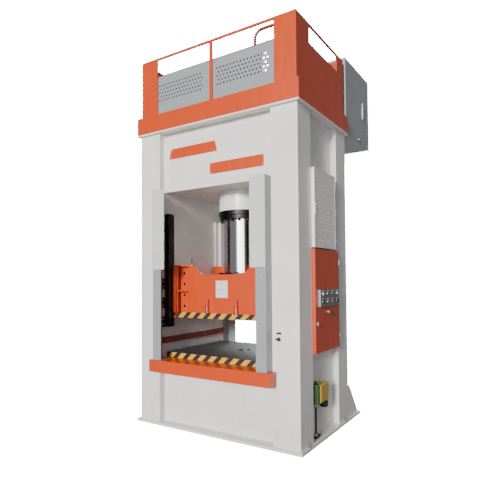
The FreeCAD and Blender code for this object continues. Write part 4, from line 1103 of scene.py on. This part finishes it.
def hang(name, data, spot=(0, 0, 0), way=None):
    """Puts a light or camera in the scene, pointing along way."""
    thing = bpy.data.objects.new(name, data)
    bpy.context.scene.collection.objects.link(thing)
    thing.location = spot
    if way:
        thing.rotation_euler = way.to_track_quat("-Z", "Y").to_euler()
    return thing


def area_light(name, spot, aim, width, height, power):
    """A soft rectangular light, all in metres and watts."""
    data = bpy.data.lights.new(name, "AREA")
    data.shape, data.size, data.size_y, data.energy = "RECTANGLE", width, height, power
    return hang(name, data, spot, Vector(aim) - Vector(spot))


class PRESS_OT_stage(Operator):
    """The white surround, the soft studio light and the camera"""
    bl_idname = "press.stage"
    bl_label = "Stage"

    def execute(self, context):
        scene = context.scene
        world = scene.world = bpy.data.worlds.new("studio_surround")
        world.use_nodes = True
        tree = world.node_tree
        tree.nodes.clear()
        # a dim cool surround lights the press; the camera sees it as plain white
        lit = add(tree, "ShaderNodeBackground",
                  {"Color": (0.93, 0.96, 1.0, 1.0), "Strength": scene.press_sizes.sky})
        seen = add(tree, "ShaderNodeBackground", {"Color": (1.0, 1.0, 1.0, 1.0), "Strength": 18.0})
        rays = add(tree, "ShaderNodeLightPath")
        both = add(tree, "ShaderNodeMixShader", {}, {0: (rays, "Is Camera Ray"), 1: (lit, 0), 2: (seen, 0)})
        add(tree, "ShaderNodeOutputWorld", {}, {"Surface": (both, 0)})

        key = bpy.data.lights.new("key_sun", "SUN")
        key.energy, key.angle, key.color = scene.press_sizes.key_power, math.radians(12), (1.0, 0.985, 0.96)
        hang("key_sun", key, way=Vector((-0.10, 0.95, -0.24)))
        area_light("front_wall", (1.6, -8.5, 3.4), (0, 0, 2.6), 5.0, 5.0, 150)
        # a bright panel that only polished and glossy faces mirror
        panel = area_light("mirror_panel", (2.5, -7.2, 2.6), (0, 0, 2.8), 5.5, 6.0, 620)
        panel.visible_diffuse = False
        area_light("rear_fill", (-1.5, 9.0, 6.0), (0, 0, 3.0), 6.0, 5.0, 900)

        lens = bpy.data.cameras.new("press_camera")
        lens.sensor_width, lens.sensor_fit = 36.0, "HORIZONTAL"
        # the focal length as a share of the sensor's width
        lens.lens = lens.sensor_width * 0.903
        lens.shift_y = 0.0284
        lens.clip_end = 200
        camera = hang("press_camera", lens)
        yaw, pitch, roll = math.radians(32.33), math.radians(1.82), math.radians(-0.44)
        forward = Vector((-math.sin(yaw) * math.cos(pitch), math.cos(yaw) * math.cos(pitch), math.sin(pitch)))
        right = Vector((math.cos(yaw), math.sin(yaw), 0))
        up = right.cross(forward)
        across = right * math.cos(roll) + up * math.sin(roll)
        above = up * math.cos(roll) - right * math.sin(roll)
        turn = Matrix((across, above, -forward)).transposed().to_4x4()
        camera.matrix_world = Matrix.Translation((3.6637, -5.6065, 2.0747)) @ turn
        scene.camera = camera
        return {"FINISHED"}


OPERATORS = (
    PRESS_OT_finishes, PRESS_OT_welded_frame, PRESS_OT_weld_seams, PRESS_OT_foot_screws, PRESS_OT_deck,
    PRESS_OT_guards, PRESS_OT_handrail, PRESS_OT_tank, PRESS_OT_ram, PRESS_OT_slide, PRESS_OT_guides,
    PRESS_OT_table, PRESS_OT_opening_guards, PRESS_OT_plates, PRESS_OT_lifting_eye, PRESS_OT_switch,
    PRESS_OT_cabinets, PRESS_OT_controls, PRESS_OT_lubrication, PRESS_OT_stage,
)


class PRESS_PT_panel(Panel):
    """The press's sizes, colours and pieces"""
    bl_idname = "PRESS_PT_panel"
    bl_label = "Hydraulic press"
    bl_space_type = "VIEW_3D"
    bl_region_type = "UI"
    bl_category = "Press"

    def draw(self, context):
        for group in (context.scene.press_paint, context.scene.press_sizes):
            column = self.layout.box()
            for name in group.bl_rna.properties.keys():
                if name not in ("rna_type", "name"):
                    column.prop(group, name)
        for operator in OPERATORS:
            self.layout.operator(operator.bl_idname)


CLASSES = (PressPaint, PressSizes) + OPERATORS + (PRESS_PT_panel,)


def register():
    for kind in CLASSES:
        bpy.utils.register_class(kind)
    bpy.types.Scene.press_paint = PointerProperty(type=PressPaint)
    bpy.types.Scene.press_sizes = PointerProperty(type=PressSizes)


def unregister():
    del bpy.types.Scene.press_sizes
    del bpy.types.Scene.press_paint
    for kind in reversed(CLASSES):
        bpy.utils.unregister_class(kind)


def main():
    register()
    for operator in OPERATORS:
        group, name = operator.bl_idname.split(".")
        getattr(getattr(bpy.ops, group), name)()


if __name__ == "__main__":
    main()
